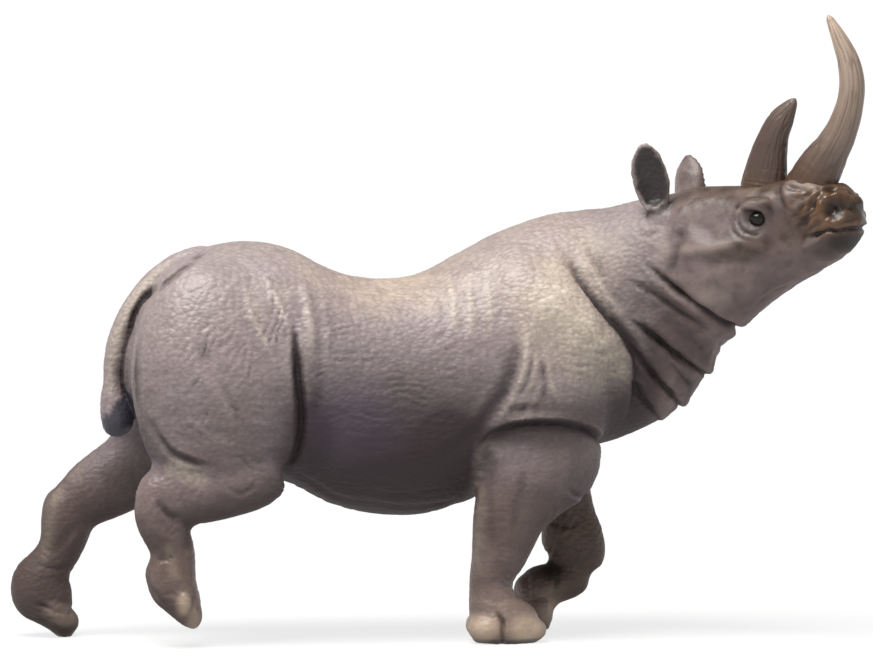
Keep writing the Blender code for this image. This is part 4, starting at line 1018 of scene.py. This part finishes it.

# Strokes of painted shade along folds, and of painted highlight along crests: line of (x, z), reach, how much
SHADE_STROKES = [
    ([(-44.6, 78.0), (-49.6, 75.8), (-52.4, 74.2), (-55.5, 71.8), (-58.6, 69.1), (-61.0, 65.2),
      (-62.2, 60.1)], 0.5, 0.8),
    ([(-58.6, 69.1), (-61.0, 65.2), (-62.2, 60.1), (-62.4, 52.0), (-62.0, 42.0)], 0.8, 0.8),
    ([(8.3, 38.4), (8.0, 33.3), (7.6, 28.6), (7.6, 24.0), (8.3, 18.0)], 1.1, 0.35),
    ([(13.5, 36.0), (12.9, 30.9), (11.7, 26.8), (12.3, 22.0)], 1.0, 0.3),
    ([(8.6, 6.8), (9.6, 4.7), (9.6, 2.4), (10.0, -2.0)], 0.45, 0.6),
    ([(-60.0, 44.6), (-57.4, 40.5), (-55.6, 38.3), (-53.2, 37.2), (-51.2, 36.6)], 0.7, 0.12),
    ([(-58.6, 29.8), (-56.5, 26.8), (-53.2, 25.1)], 1.0, 0.4),
    ([(-53.4, 26.0), (-52.3, 22.1), (-53.0, 18.6)], 1.2, 0.45),
    ([(-84.0, 5.0), (-79.5, 2.9), (-77.0, 2.3), (-73.9, 0.9), (-69.8, 1.6)], 1.3, 0.9),
    ([(-31.2, 62.0), (-31.2, 54.0), (-30.7, 45.8), (-30.4, 38.0), (-33.6, 30.0)], 1.3, 0.85),
    ([(-29.4, 50.0), (-29.2, 44.0), (-29.4, 38.0), (-31.6, 31.0)], 2.0, 0.5),
    ([(5.4, 38.2), (8.4, 41.4), (13.0, 42.6), (19.0, 42.9), (25.4, 42.0), (30.0, 39.6),
      (32.4, 35.0)], 0.9, 0.6),
    ([(10.6, 60.0), (11.0, 55.0), (9.0, 50.0), (5.6, 45.2), (2.4, 40.0)], 1.8, 0.45),
    ([(30.0, 66.6), (34.8, 60.6), (37.4, 56.6), (38.0, 51.0), (37.4, 44.0)], 1.2, 0.65),
    ([(40.4, 73.6), (45.3, 69.8), (48.8, 66.5), (52.4, 63.8), (58.0, 61.8), (63.0, 61.6)], 0.9, 0.75),
    ([(40.4, 71.2), (43.0, 68.8), (45.6, 66.3), (50.0, 63.6)], 1.4, 0.5),
    ([(37.6, 62.3), (42.2, 59.3), (47.3, 55.2), (53.0, 53.4)], 0.9, 0.7),
    ([(39.0, 54.2), (42.3, 50.4), (41.6, 46.6)], 0.9, 0.6),
    ([(43.4, 55.0), (46.4, 51.6), (49.2, 47.4)], 0.9, 0.6),
]
HIGHLIGHT_STROKES = [
    ([(15.0, 73.6), (17.0, 70.1), (21.6, 64.8), (27.0, 60.4), (31.0, 54.0), (32.0, 48.0)], 5.2, 0.78),
    ([(17.6, 77.0), (21.3, 71.1), (25.7, 65.0), (30.2, 58.8), (33.8, 54.4), (35.0, 47.0)], 1.9, 1.0),
    ([(13.6, 64.0), (14.2, 57.0), (13.1, 52.2), (10.9, 47.5), (7.4, 42.6)], 0.8, 0.45),
    ([(16.2, 59.0), (15.6, 53.0), (13.2, 48.2), (10.6, 44.8)], 0.6, 0.4),
    ([(18.2, 58.0), (19.0, 51.4), (21.0, 47.4)], 0.6, 0.35),
    ([(7.6, 43.2), (12.0, 44.3), (19.0, 44.9), (25.4, 44.0)], 0.7, 0.4),
    ([(0.6, 74.0), (0.6, 67.0), (0.2, 61.0)], 0.8, 0.45),
    ([(3.8, 74.0), (3.8, 67.0), (3.2, 60.0)], 0.8, 0.45),
    ([(7.4, 75.0), (7.5, 67.5), (7.0, 60.0)], 0.8, 0.35),
    ([(-28.6, 69.0), (-28.6, 62.0), (-28.6, 55.0)], 0.9, 0.45),
    ([(-39.6, 70.0), (-38.4, 63.0), (-36.0, 57.0)], 0.5, 0.4),
    ([(28.7, 77.6), (30.8, 69.6), (34.6, 64.6)], 0.6, 0.4),
    ([(25.4, 77.0), (28.6, 70.0), (33.0, 63.2)], 0.6, 0.4),
    ([(-50.0, 77.0), (-56.0, 73.2), (-61.0, 67.6), (-64.4, 60.0), (-65.8, 52.0), (-65.4, 46.0)], 1.2, 0.5),
    ([(6.4, 42.0), (5.9, 37.8), (5.4, 30.0), (5.0, 22.1), (4.6, 12.0)], 1.3, 0.55),
    ([(6.0, 41.6), (8.0, 39.8), (9.0, 36.4)], 1.6, 0.55),
    ([(-73.6, 33.0), (-76.0, 26.0), (-76.9, 19.9), (-78.4, 13.0)], 1.2, 0.75),
    ([(-68.0, 38.6), (-71.0, 34.0), (-73.0, 30.4)], 1.5, 0.4),
    ([(-79.0, 6.0), (-75.0, 5.0), (-72.4, 4.4)], 0.9, 0.4),
    ([(-57.6, 35.4), (-54.6, 35.6), (-51.0, 33.6), (-47.6, 32.8)], 1.5, 0.65),
    ([(-56.4, 21.6), (-55.4, 16.4), (-54.6, 12.4)], 1.0, 0.4),
    ([(34.0, 24.0), (35.4, 18.0), (35.0, 13.0)], 1.3, 0.3),
    ([(-36.0, 57.0), (-37.9, 60.6), (-39.8, 65.2), (-40.4, 68.3), (-40.6, 72.4)], 0.6, 0.25),
    ([(-32.6, 62.0), (-34.4, 67.5), (-36.3, 72.1)], 0.6, 0.25),
]

# Strokes of painted shade and painted highlight on the face, in the head's (x, z)
FACE_SHADE_STROKES = [
    ([(9.0, -30.0), (13.9, -26.4), (20.0, -21.8), (24.0, -19.8), (29.0, -17.2), (33.0, -14.6)], 1.3, 0.7),
    ([(2.4, -8.0), (1.8, -12.0), (0.7, -15.6), (-1.4, -19.4)], 1.2, 0.35),
    ([(3.0, -14.8), (7.4, -15.0), (12.0, -14.4), (18.0, -13.8), (24.0, -14.2)], 1.8, 0.4),
    ([(2.0, -6.4), (8.0, -6.4), (12.6, -7.0)], 2.4, 0.35),
    ([(12.0, -5.6), (13.4, -3.0), (15.8, -2.0), (18.4, -2.0), (20.4, -3.6), (21.4, -6.4)], 0.8, 0.55),
    ([(13.4, -8.0), (15.6, -9.6), (18.4, -9.8), (20.6, -8.6)], 0.6, 0.4),
    ([(20.4, 3.0), (21.2, 0.0), (22.4, -2.2), (24.6, -5.4), (25.4, -9.0)], 1.0, 0.5),
    ([(23.0, 3.4), (26.0, 1.2), (30.0, 0.8), (34.0, 1.8), (37.0, 2.6)], 1.0, 0.7),
]
FACE_HIGHLIGHTS = [
    ([(0.6, -12.4), (2.5, -12.1), (6.5, -11.8), (10.8, -11.4), (14.4, -11.0)], 1.0, 0.5),
    ([(22.2, 0.6), (23.6, 2.4), (26.6, 1.2), (30.0, 0.0)], 1.0, 0.55),
    ([(13.0, -5.4), (14.4, -4.2), (16.4, -3.4), (18.4, -3.9), (19.6, -5.0)], 0.45, 0.5),
    ([(14.2, -7.8), (15.8, -9.0), (18.0, -9.0), (19.8, -7.8)], 0.4, 0.35),
    ([(11.0, -1.0), (14.0, -0.6), (17.6, -0.4)], 0.8, 0.3),
    ([(-3.6, -8.0), (-1.6, -11.0), (-1.2, -15.0)], 1.6, 0.35),
    ([(4.0, -20.0), (8.0, -21.6), (13.0, -20.4)], 2.4, 0.3),
    ([(26.6, -11.8), (28.6, -10.4), (31.0, -9.6)], 0.6, 0.4),
    ([(24.4, -4.0), (26.4, -2.4), (28.6, -1.2)], 0.5, 0.35),
]

# Nails: centre and radii, and how much of the horn colour they have
NAILS = [
    ((14.8, 3.0), (4.4, 3.0), 1.0),
    ((6.0, 3.4), (3.6, 2.8), 0.9),
    ((10.0, 4.6), (9.0, 6.0), 0.22),
    ((-50.9, 5.4), (1.6, 3.4), 0.45),
    ((-53.1, 8.9), (1.4, 2.4), 0.8),
    ((-73.6, 4.4), (3.0, 2.0), 0.3),
    ((24.4, 4.4), (2.6, 4.0), 0.3),
]

head_skin = to_head(skin)
flat_body = skin[:, [0, 2]]
flat_head = head_skin[:, [0, 2]]
x, y, z = skin.T
on_face = smooth_step((head_skin[:, 0] + 12) / 10)
on_right = smooth_step(-y / 3)
on_left = smooth_step(y / 3)

# Strokes stay on skin that faces a side, and off the left rump behind the tail
sideways = smooth_step((np.abs(normals[:, 1]) - 0.15) / 0.3)
sideways *= 1 - smooth_step((-46 - x) / 2) * on_left * smooth_step((z - 36) / 4)

face_at = {name: patch(head_skin, *place) * on_face for name, place in FACE_PLACES.items()}
# From the relief: painted shade in hollows and on skin that turns down, dark wash and painted shade in
# grooves and between pebbles, and painted highlight on crests and swells
masks = {
    "groove": smooth_step((carried["near_dip"] - 0.015) / 0.10),
    "crest": smooth_step((-carried["near_dip"] - 0.01) / 0.07),
    "hollow": smooth_step((carried["wide_dip"] - 0.03) / 0.45),
    "swell": smooth_step((-carried["wide_dip"] - 0.05) / 0.5),
    "turned_down": smooth_step((0.25 - normals[:, 2]) / 1.1),
    "face": on_face * smooth_step((x - 38) / 8),
    "plum": patch(skin, (-20.0, 45.0), (9.0, 8.0)) * sideways,
    "sole": smooth_step((1.3 - z) / 0.8),
}
masks["pebbled"] = 1 - 0.8 * masks["face"]
masks["valley"] = np.clip(1.2 * (0.55 - carried["hide"]), 0, 1) * masks["pebbled"]
masks["legs"] = smooth_step((38 - z) / 10) * (1 - masks["turned_down"])
# Beige on the back and shoulder blade: partly the paint's colour, partly painted light from above
back = patch(skin, (-13.0, 74.0), (17.0, 9.0))
shoulder_blade = patch(skin, (24.0, 70.0), (13.0, 16.0))
masks["beige"] = np.clip(back + 0.7 * shoulder_blade, 0, 1)

# Brown glaze: the face's places, the left fore leg, and a little on all legs
glaze = sum(amount * face_at[name] for name, amount in GLAZED.items())
glaze += 0.45 * smooth_step((36 - z) / 12) * smooth_step((x - 20) / 4) * smooth_step(y / 6)
glaze += 0.3 * smooth_step((34 - z) / 14)
masks["glaze"] = np.clip(glaze, 0, 1)

# Painted highlight: pale brown on the muzzle's top and crests, where the light catches them; it goes to 2, so
# that the mottle leaves it whole there
knobbly = face_at["nose"] + face_at["side_of_nose"] + face_at["rear_horn_foot"]
masks["gold"] = np.clip(0.8 * face_at["muzzle_top"] + 2.2 * masks["crest"] * knobbly, 0, 2)

# Painted shade: the airbrushed patches, the far legs, the tail's shadow, the trailing foot and the elbow, and
# less on the near fore leg; then the strokes along folds
shade = sum(amount * patch(skin, centre, radii) for centre, radii, amount in SHADES)
far_legs = smooth_step((46 - z) / 14) * smooth_step((y - 2) / 6)
far_fore_foot = smooth_step((13 - z) / 6) * smooth_step(x / 5)
shade += 0.40 * far_legs * (1 - 0.6 * far_fore_foot)
shade += 0.6 * patch(skin, (-62.4, 40.5), (2.8, 4.5)) * on_right
shade += 0.34 * patch(skin, (-76.0, 10.0), (9.0, 11.0)) * on_left
shade += 0.45 * patch(skin, (-1.0, 39.0), (5.0, 6.5)) * on_right
fore_leg = smooth_step((x - 3.4) / 1.4) * smooth_step((41 - z) / 2.5) * smooth_step((24 - x) / 3) * on_right
shade *= 1 - 0.75 * fore_leg
shade += 0.4 * patch(skin, (20.0, 41.0), (12.0, 3.0)) * fore_leg
for line, reach, amount in FACE_SHADE_STROKES:
    shade = np.maximum(shade, 0.8 * shade + amount * stroke(flat_head, line, reach) * on_face)
off_face = sideways * (1 - masks["face"])
for line, reach, amount in SHADE_STROKES:
    shade = np.maximum(shade, 0.8 * shade + amount * stroke(flat_body, line, reach) * off_face)
masks["shaded"] = np.clip(np.maximum(np.clip(shade, 0, 0.92), masks["turned_down"]), 0, 1)
# Painted shade on the far ear, which lies away from the light
far_rim = patch(head_skin, (-3.4, 5.6), (3.0, 3.4)) * smooth_step((head_skin[:, 1] - 5) / 2)
far_ear = smooth_step((head_skin[:, 1] - 5.5) / 1.5) * smooth_step((head_skin[:, 2] + 1) / 2) * on_face
far_ear *= smooth_step((2 - head_skin[:, 0]) / 3)
masks["shade"] = np.clip(np.clip(shade, 0, 0.92) + 0.75 * far_rim + 0.2 * far_ear, 0, 0.92)

# Painted highlights on the face's ridges and the body's crests, laid as dry brushing
lights = [amount * stroke(flat_head, line, reach) for line, reach, amount in FACE_HIGHLIGHTS]
masks["face_light"] = np.max(lights, axis=0) * on_face
lights = [amount * stroke(flat_body, line, reach) for line, reach, amount in HIGHLIGHT_STROKES]
masks["brushed"] = np.max(lights, axis=0) * sideways

# The tuft's paint ends in an uneven, slanting line across the tail
tuft_line = z + lattice_noise(3 * x, 3 * y, 0.4 * z, 31) - 1.1 * (x + 64.2)
tuft = smooth_step((48.4 - tuft_line) / 1.4) * smooth_step((-59.5 - x) / 1.0)
masks["tuft"] = tuft * smooth_step((z - 39.5) / 1.0) * smooth_step((5.4 - np.abs(y)) / 1.0)
nails = [amount * patch(skin, centre, radii) for centre, radii, amount in NAILS]
masks["nail"] = np.clip(1.1 * np.max(nails, axis=0), 0, 1)

# Inside the ears, where the skin faces the way that the ear opens: their dark paint, with painted shade in
# the cup, less on the crests
ear_zone = patch(head_skin, (-5.0, 3.0), (5.0, 8.4)) * smooth_step((np.abs(head_skin[:, 1]) - 5.0) / 1.0)
outward = normals @ head_turn()
into = np.where(head_skin[:, 1] < 0, outward @ EARS[0][2], outward @ EARS[1][2])
inside = smooth_step((ear_zone - 0.2) / 0.4) * smooth_step((into + 0.05) / 0.6)
masks["ear_inside"] = inside * (1 - 0.7 * masks["crest"])

# Painted shade, near black, in the nostrils and mouth, under the chin, about the eye and behind the folded
# fore leg, with the lips' own dark paint; gloss on muzzle, soles and tuft
nostrils = [patch(head_skin, centre, (1.2 * half, 1.2 * half)) for centre, half, depth in NOSTRILS]
nostrils = np.max(nostrils, axis=0)
behind_leg = patch(skin, (25.4, 12.0), (2.8, 2.4)) * smooth_step((y - 5) / 2)
opening_shade = sum(amount * face_at[name] for name, amount in SHADED_OPENINGS.items())
masks["dark"] = np.clip(1.1 * behind_leg + opening_shade + nostrils * on_face, 0, 1)
gloss = 0.6 * face_at["nose"] + 0.5 * face_at["muzzle_top"] + masks["sole"] + masks["tuft"]
masks["gloss"] = np.clip(gloss, 0, 1) * (1 - 0.9 * nostrils)


def linear(code):
    """The linear colour of a #rrggbb code: a channel c goes to ((c + 0.055) / 1.055)^2.4, or to c / 12.92
    where it is low."""
    channels = []
    for start in (1, 3, 5):
        c = int(code[start : start + 2], 16) / 255
        channels.append(c / 12.92 if c <= 0.04045 else ((c + 0.055) / 1.055) ** 2.4)
    return (*channels, 1.0)


def new_material(name, roughness, coat):
    """A material with a Principled shader, of that roughness and clear coat, and its node tree and shader."""
    material = bpy.data.materials.new(name)
    material.use_nodes = True
    tree = material.node_tree
    shader = tree.nodes["Principled BSDF"]
    shader.inputs["Roughness"].default_value = roughness
    shader.inputs["IOR"].default_value = 1.4
    shader.inputs["Coat Weight"].default_value = coat
    return material, tree, shader


def node(tree, kind, settings=None, **links):
    """Adds a node: settings are its own properties, links are values or sockets for its inputs by name.

    An underscore stands for a space in an input's name, and a name such as i0 or i1 is the input's place.
    """
    made = tree.nodes.new(kind)
    for key, value in (settings or {}).items():
        setattr(made, key, value)
    for key, value in links.items():
        place = int(key[1:]) if key[0] == "i" and key[1:].isdigit() else key.replace("_", " ")
        socket = made.inputs[place]
        if isinstance(value, bpy.types.NodeSocket):
            tree.links.new(value, socket)
        else:
            socket.default_value = value
    return made


def coated(tree, colour, coats):
    """A colour covered by coats of paint in turn. Each has its hex code, the values whose product says
    where it lies, and how well it covers there."""
    product = {"operation": "MULTIPLY", "use_clamp": True}
    for paint, places, cover in coats:
        amount = places[0]
        for factor in (*places[1:], cover):
            amount = node(tree, "ShaderNodeMath", product, i0=amount, i1=factor).outputs[0]
        mixed = node(tree, "ShaderNodeMix", {"data_type": "RGBA"}, i0=amount, i6=colour, i7=linear(paint))
        colour = mixed.outputs[2]
    return colour


# Painted vinyl: a mauve-grey base, beige on the back, airbrushed plum below, a dark brown wash in the folds
# and pale dry brushing on the crests; the beige and the pale crests are partly painted light from above, and
# the plum and the dark in the folds partly painted shade. To the eye it is satin, with small highlights on
# each pebble of the hide, duller where the shade is thick and glossier on the muzzle.
VINYL_ROUGHNESS = 0.42
SHADE_DULLS = 0.35
GLAZE_SHINES = 0.22

# Patterns of the paint: feature size in mm, detail, and the noise at which the paint starts and is full.
# The specks are really about 0.2 mm, and are drawn coarser to show.
PAINT_PATTERNS = {
    "mottle": (8.0, 3.0, 0.36, 0.64),
    "cloud": (16.0, 2.0, 0.40, 0.62),
    "fleck": (2.6, 3.0, 0.46, 0.66),
    "speck": (0.6, 1.0, 0.42, 0.62),
}

# Between these heights in metres the base turns from painted shade on the legs to painted light on the back
PAINTED_SHADE_BELOW = 0.028
PAINTED_LIGHT_ABOVE = 0.074

vinyl, tree, shader = new_material("painted vinyl", VINYL_ROUGHNESS, coat=0.02)
shader.inputs["Coat Roughness"].default_value = 0.35
where = node(tree, "ShaderNodeTexCoord").outputs["Object"]
at = {name: node(tree, "ShaderNodeAttribute", {"attribute_name": name}).outputs["Fac"] for name in masks}
for name, (size, detail, low, high) in PAINT_PATTERNS.items():
    noise = node(tree, "ShaderNodeTexNoise", Vector=where, Scale=1000 / size, Detail=detail).outputs["Fac"]
    ramp = node(tree, "ShaderNodeMapRange", {"clamp": True}, Value=noise, From_Min=low, From_Max=high)
    at[name] = ramp.outputs[0]
height_above = node(tree, "ShaderNodeSeparateXYZ", Vector=where).outputs[2]
painted_light_by_height = node(
    tree,
    "ShaderNodeMapRange",
    {"clamp": True},
    Value=height_above,
    From_Min=PAINTED_SHADE_BELOW,
    From_Max=PAINTED_LIGHT_ABOVE,
)
at["painted_light_by_height"] = painted_light_by_height.outputs[0]

# The coats in the order of painting: colour, where, and cover
VINYL_COATS = [
    # the base: painted shade low, painted light high
    ("#988c89", ["painted_light_by_height"], 1.0),
    # beige above: partly the paint's colour, partly painted light from above
    ("#bcab98", ["beige"], 0.95),
    ("#8d7d7a", ["mottle"], 0.35),
    ("#857986", ["cloud"], 0.25),
    # painted highlights: pale on crests and swells high up, and the highlight strokes
    ("#b5a9a2", ["crest", "painted_light_by_height"], 0.4),
    ("#aca09a", ["swell", "painted_light_by_height"], 0.3),
    ("#c4b8a6", ["brushed"], 0.85),
    ("#75604f", ["legs"], 0.4),
    # dark wash with painted shade between the pebbles
    ("#4f4547", ["valley"], 0.45),
    ("#5f5354", ["fleck"], 0.22),
    ("#7b6f6d", ["speck"], 0.15),
    # painted shade on skin that faces down, in the airbrushed patches and along the folds
    ("#2a1f20", ["turned_down"], 0.85),
    ("#281d20", ["shade"], 1.0),
    ("#42374a", ["plum"], 0.4),
    ("#524444", ["face"], 0.88),
    ("#8a7a70", ["face", "mottle"], 0.35),
    ("#3d3232", ["face", "fleck"], 0.4),
    ("#38240f", ["glaze"], 0.86),
    ("#21160e", ["glaze", "fleck"], 0.5),
    # painted highlights on the muzzle and the face's ridges
    ("#7c5a40", ["gold", "mottle"], 0.34),
    ("#a8988f", ["face_light"], 0.7),
    # painted shade in the broad hollows; dark wash and painted shade in the grooves
    ("#2a2020", ["hollow"], 0.7),
    ("#1f1716", ["groove"], 0.75),
    ("#b5a08b", ["nail"], 0.72),
    # inside the ears: their dark paint, with painted shade in the cup
    ("#231f1e", ["ear_inside"], 0.9),
    ("#33323b", ["tuft"], 0.92),
    # painted shade in the openings and behind the folded fore leg, with the lips' dark paint
    ("#1d1510", ["dark"], 0.9),
    ("#231a16", ["sole"], 0.8),
]
coats = [(paint, [at[name] for name in names], cover) for paint, names, cover in VINYL_COATS]
tree.links.new(coated(tree, linear("#5a4a4a"), coats), shader.inputs["Base Color"])
rough = VINYL_ROUGHNESS
for name, change in (("shaded", SHADE_DULLS), ("gloss", -GLAZE_SHINES)):
    added = node(tree, "ShaderNodeMath", {"operation": "MULTIPLY_ADD"}, i0=at[name], i1=change, i2=rough)
    rough = added.outputs[0]
tree.links.new(rough, shader.inputs["Roughness"])

# The finest grain of the hide, too small for the mesh: cells of 0.9 mm, 0.18 mm deep and longer than high,
# with noise of 0.5 mm over them
CELLS_PER_METRE = 1150
CELL_DEPTH = 0.00018
stretched = node(tree, "ShaderNodeVectorMath", {"operation": "MULTIPLY"}, i0=where, i1=(0.65, 1.0, 1.0))
cells = node(tree, "ShaderNodeTexVoronoi", Vector=stretched.outputs[0], Scale=CELLS_PER_METRE).outputs[0]
firm = node(tree, "ShaderNodeMath", {"operation": "MULTIPLY"}, i0=at["pebbled"], i1=0.85).outputs[0]
pebbled = node(tree, "ShaderNodeBump", {"invert": True}, Strength=firm, Distance=CELL_DEPTH, Height=cells)
fine = node(tree, "ShaderNodeTexNoise", Vector=where, Scale=1000 / 0.5, Detail=2.0).outputs["Fac"]
bump = node(tree, "ShaderNodeBump", Strength=0.3, Distance=0.0001, Height=fine, Normal=pebbled.outputs[0])
tree.links.new(bump.outputs[0], shader.inputs["Normal"])


def piece(name, points, faces, material, masks):
    """A smooth-shaded piece of the figure with its material and point masks, tied to the frame's casting."""
    obj = mesh_from(name, placed(points), faces)
    obj.data.shade_smooth()
    for key, values in masks.items():
        layer = obj.data.attributes.new(key, "FLOAT", "POINT")
        layer.data.foreach_set("value", values.astype(np.float32))
    obj.data.materials.append(material)
    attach(obj, "root")
    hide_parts("rhinoceros")
    return obj


piece("body_skin", skin, skin_faces, vinyl, masks)


# The horns
#
# On the real figure the horns belong to the casting, and are brushed cream over a brown stain.
# Each is a closed loft with grooves along it and rings about its foot; its base sinks into the muzzle.

FRONT_HORN = [
    (25.0, -1.5, 5.4, 5.0),
    (26.8, 2.2, 4.9, 4.6),
    (28.7, 5.4, 4.3, 4.1),
    (30.6, 8.2, 3.6, 3.7),
    (32.2, 11.0, 3.2, 3.2),
    (33.8, 15.2, 2.8, 2.8),
    (34.6, 20.5, 2.5, 2.5),
    (33.8, 25.0, 2.2, 2.1),
    (31.9, 29.3, 1.6, 1.5),
    (29.4, 34.0, 0.6, 0.6),
]
REAR_HORN = [
    (15.6, -1.5, 5.2, 3.9),
    (16.2, 3.0, 4.45, 3.6),
    (17.0, 7.2, 3.7, 3.1),
    (18.2, 11.0, 3.0, 2.6),
    (19.7, 13.8, 2.5, 2.1),
    (21.2, 15.9, 1.6, 1.4),
    (22.6, 17.7, 0.6, 0.6),
]


def horn(rows, seed):
    """A horn, with grooves of mixed depth along it and rings that fade above its foot, and its points'
    share of the height, 0 at the foot and 1 at the tip, and depth in a groove."""
    around = 120
    steps = 170
    sections = [(x, 0, z, depth, depth, width, width) for x, z, depth, width in rows]
    points, faces = loft(sections, caps=(0.5, 1.2), around=around, steps=steps, power=2.0)
    rings = points[:-2].reshape(steps, around, 3)
    middle = rings.mean(1, keepdims=True)
    out = rings - middle
    radius = np.linalg.norm(out, axis=2)
    share = np.repeat(np.linspace(0, 1, steps)[:, None], around, 1)
    angle = np.repeat(np.linspace(0, 2 * np.pi, around, endpoint=False)[None], steps, 0)
    flat = (3.0 * np.cos(angle).ravel(), 3.0 * np.sin(angle).ravel(), 5.0 * share.ravel())
    streaks = lattice_noise(flat[0], flat[1], flat[2], seed).reshape(steps, around)
    fine = lattice_noise(3 * flat[0], 3 * flat[1], 1.6 * flat[2], seed + 1).reshape(steps, around)
    rings_about = lattice_noise(0.4 * flat[0], 0.4 * flat[1], 9 * flat[2], seed + 2).reshape(steps, around)
    groove = np.exp(-((streaks / 0.16) ** 2)) + 0.6 * np.exp(-((fine / 0.2) ** 2))
    rise = -0.13 * groove + 0.10 * rings_about * (1 - share) ** 2
    outward = out / np.maximum(radius, 1e-6)[..., None]
    rings = rings + outward * (rise * np.minimum(radius / 2.0, 1))[..., None]
    points = np.concatenate([rings.reshape(-1, 3), points[-2:]])
    share = np.concatenate([share.ravel(), [0.0, 1.0]])
    groove = np.concatenate([groove.ravel(), [0.0, 0.0]])
    points, faces = on_head((points, faces))
    return points, faces, share, groove


# Painted horn: the same vinyl brushed cream, with a brown stain left in the grooves and about the foot. To
# the eye it is smoother than the hide and a little shinier.
horn_paint, tree, shader = new_material("painted vinyl horn", VINYL_ROUGHNESS, coat=0.10)
where = node(tree, "ShaderNodeTexCoord").outputs["Object"]
at = {}
for name in ("share", "pale", "groove"):
    at[name] = node(tree, "ShaderNodeAttribute", {"attribute_name": name}).outputs["Fac"]
for name, source, low, high in (("cream", "pale", 0.15, 0.95), ("foot", "share", 0.32, 0.10)):
    ramp = node(tree, "ShaderNodeMapRange", {"clamp": True}, Value=at[source], From_Min=low, From_Max=high)
    at[name] = ramp.outputs[0]
coats = [
    ("#a99685", [at["cream"]], 1.0),
    ("#4a3a32", [at["groove"]], 0.5),
    ("#4a3524", [at["foot"]], 0.85),
]
tree.links.new(coated(tree, linear("#463731"), coats), shader.inputs["Base Color"])
fine = node(tree, "ShaderNodeTexNoise", Vector=where, Scale=1000 / 0.45, Detail=2.0).outputs["Fac"]
bump = node(tree, "ShaderNodeBump", Strength=0.3, Distance=0.0001, Height=fine)
tree.links.new(bump.outputs[0], shader.inputs["Normal"])

# Each horn has its rows, noise seed and share of the cream
for name, rows, seed, cream in (("front_horn", FRONT_HORN, 211, 1.0), ("rear_horn", REAR_HORN, 223, 0.3)):
    points, faces, share, groove = horn(rows, seed)
    horn_masks = {"share": share, "pale": cream * share, "groove": np.clip(groove, 0, 1)}
    piece(name, points, faces, horn_paint, horn_masks)


# The eyes
#
# Painted beads of the casting: gloss black-brown with a touch of green. Each is a ball set in its lids.

EYE_AT = (17.8, 7.5, -5.9)
EYE_RADII = (1.65, 1.5, 1.45)


def eye(side):
    """A ball of EYE_RADII at EYE_AT on one side of the head: side is 1 for the left and -1 for the right."""
    x, y, z = EYE_AT
    return on_head(ellipsoid((x, side * y, z), EYE_RADII))


# Painted eye: gloss black-brown under a clear lacquer, with a sharp highlight
eye_paint, tree, shader = new_material("painted vinyl eye", roughness=0.09, coat=0.0)
shader.inputs["Base Color"].default_value = linear("#16130f")
shader.inputs["IOR"].default_value = 1.33

piece("right_eye", *eye(-1), eye_paint, {})
piece("left_eye", *eye(1), eye_paint, {})


# Stage: a pale floor that is lit through and so turns white away from the figure, a soft lamp overhead and a
# pale room
floor_paint, tree, shader = new_material("matt white board", roughness=0.8, coat=0.0)
shader.inputs["Base Color"].default_value = (0.80, 0.80, 0.80, 1.0)
spot = node(tree, "ShaderNodeTexCoord").outputs["Object"]
from_middle = node(tree, "ShaderNodeVectorMath", {"operation": "LENGTH"}, i0=spot).outputs["Value"]
glow = node(
    tree,
    "ShaderNodeMapRange",
    {"clamp": True},
    Value=from_middle,
    From_Min=0.06,
    From_Max=0.30,
    To_Min=0.75,
    To_Max=1.0,
)
white = node(tree, "ShaderNodeEmission", Color=(1.0, 1.0, 1.0, 1.0), Strength=1.02)
mixed = node(tree, "ShaderNodeMixShader", i0=glow.outputs[0], i1=shader.outputs[0], i2=white.outputs[0])
tree.links.new(mixed.outputs[0], tree.nodes["Material Output"].inputs["Surface"])
bpy.ops.mesh.primitive_plane_add(size=8.0, location=(0, 0, float(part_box("rhinoceros")[0][2])))
floor = bpy.context.object
floor.name = "floor"
floor.data.materials.append(floor_paint)

# The room is white about the horizon and dimmer above, so that the lamp gives most of the light
world = bpy.data.worlds.new("pale room")
bpy.context.scene.world = world
world.use_nodes = True
tree = world.node_tree
direction = node(tree, "ShaderNodeTexCoord").outputs["Generated"]
rise = node(tree, "ShaderNodeSeparateXYZ", Vector=direction).outputs[2]
strength = node(
    tree,
    "ShaderNodeMapRange",
    {"clamp": True},
    Value=rise,
    From_Min=0.08,
    From_Max=0.35,
    To_Min=1.02,
    To_Max=0.30,
)
background = tree.nodes["Background"]
background.inputs["Color"].default_value = (1.0, 1.0, 1.0, 1.0)
tree.links.new(strength.outputs[0], background.inputs["Strength"])


def lamp(name, place, aim, size, watts, colour):
    """A square soft lamp at place, turned to aim, both in the frame's metres."""
    light = bpy.data.lights.new(name, "AREA")
    light.size = size
    light.energy = watts
    light.color = colour
    obj = bpy.data.objects.new(name, light)
    bpy.context.scene.collection.objects.link(obj)
    obj.location = place
    obj.rotation_euler = (Vector(aim) - Vector(place)).to_track_quat("-Z", "Y").to_euler()
    return obj


lamp(
    "overhead",
    place=(-0.22, -0.22, 0.75),
    aim=(0.0, 0.0, 0.05),
    size=0.5,
    watts=10.8,
    colour=(1.0, 0.985, 0.965),
)

# Camera: where the photo was taken from, one metre off in the sculptor's scale, ten degrees round to the tail
# and two degrees up
TARGET = np.array([0.0, 0.0, 62.5])
DISTANCE_MM = 1000.0
SENSOR_MM = 36.0
FOCAL_MM = 206.2
TURN = np.radians(-10.0)
RISE = np.radians(2.0)
away = np.array([np.sin(TURN) * np.cos(RISE), -np.cos(TURN) * np.cos(RISE), np.sin(RISE)])
camera = bpy.data.objects.new("camera", bpy.data.cameras.new("camera"))
bpy.context.scene.collection.objects.link(camera)
camera.data.sensor_width = SENSOR_MM
camera.data.lens = FOCAL_MM
camera.location = placed(TARGET + DISTANCE_MM * away)
camera.rotation_euler = Vector(-away).to_track_quat("-Z", "Y").to_euler()
camera.data.clip_end = 20.0
bpy.context.scene.camera = camera
bpy.context.scene.view_settings.view_transform = "Standard"
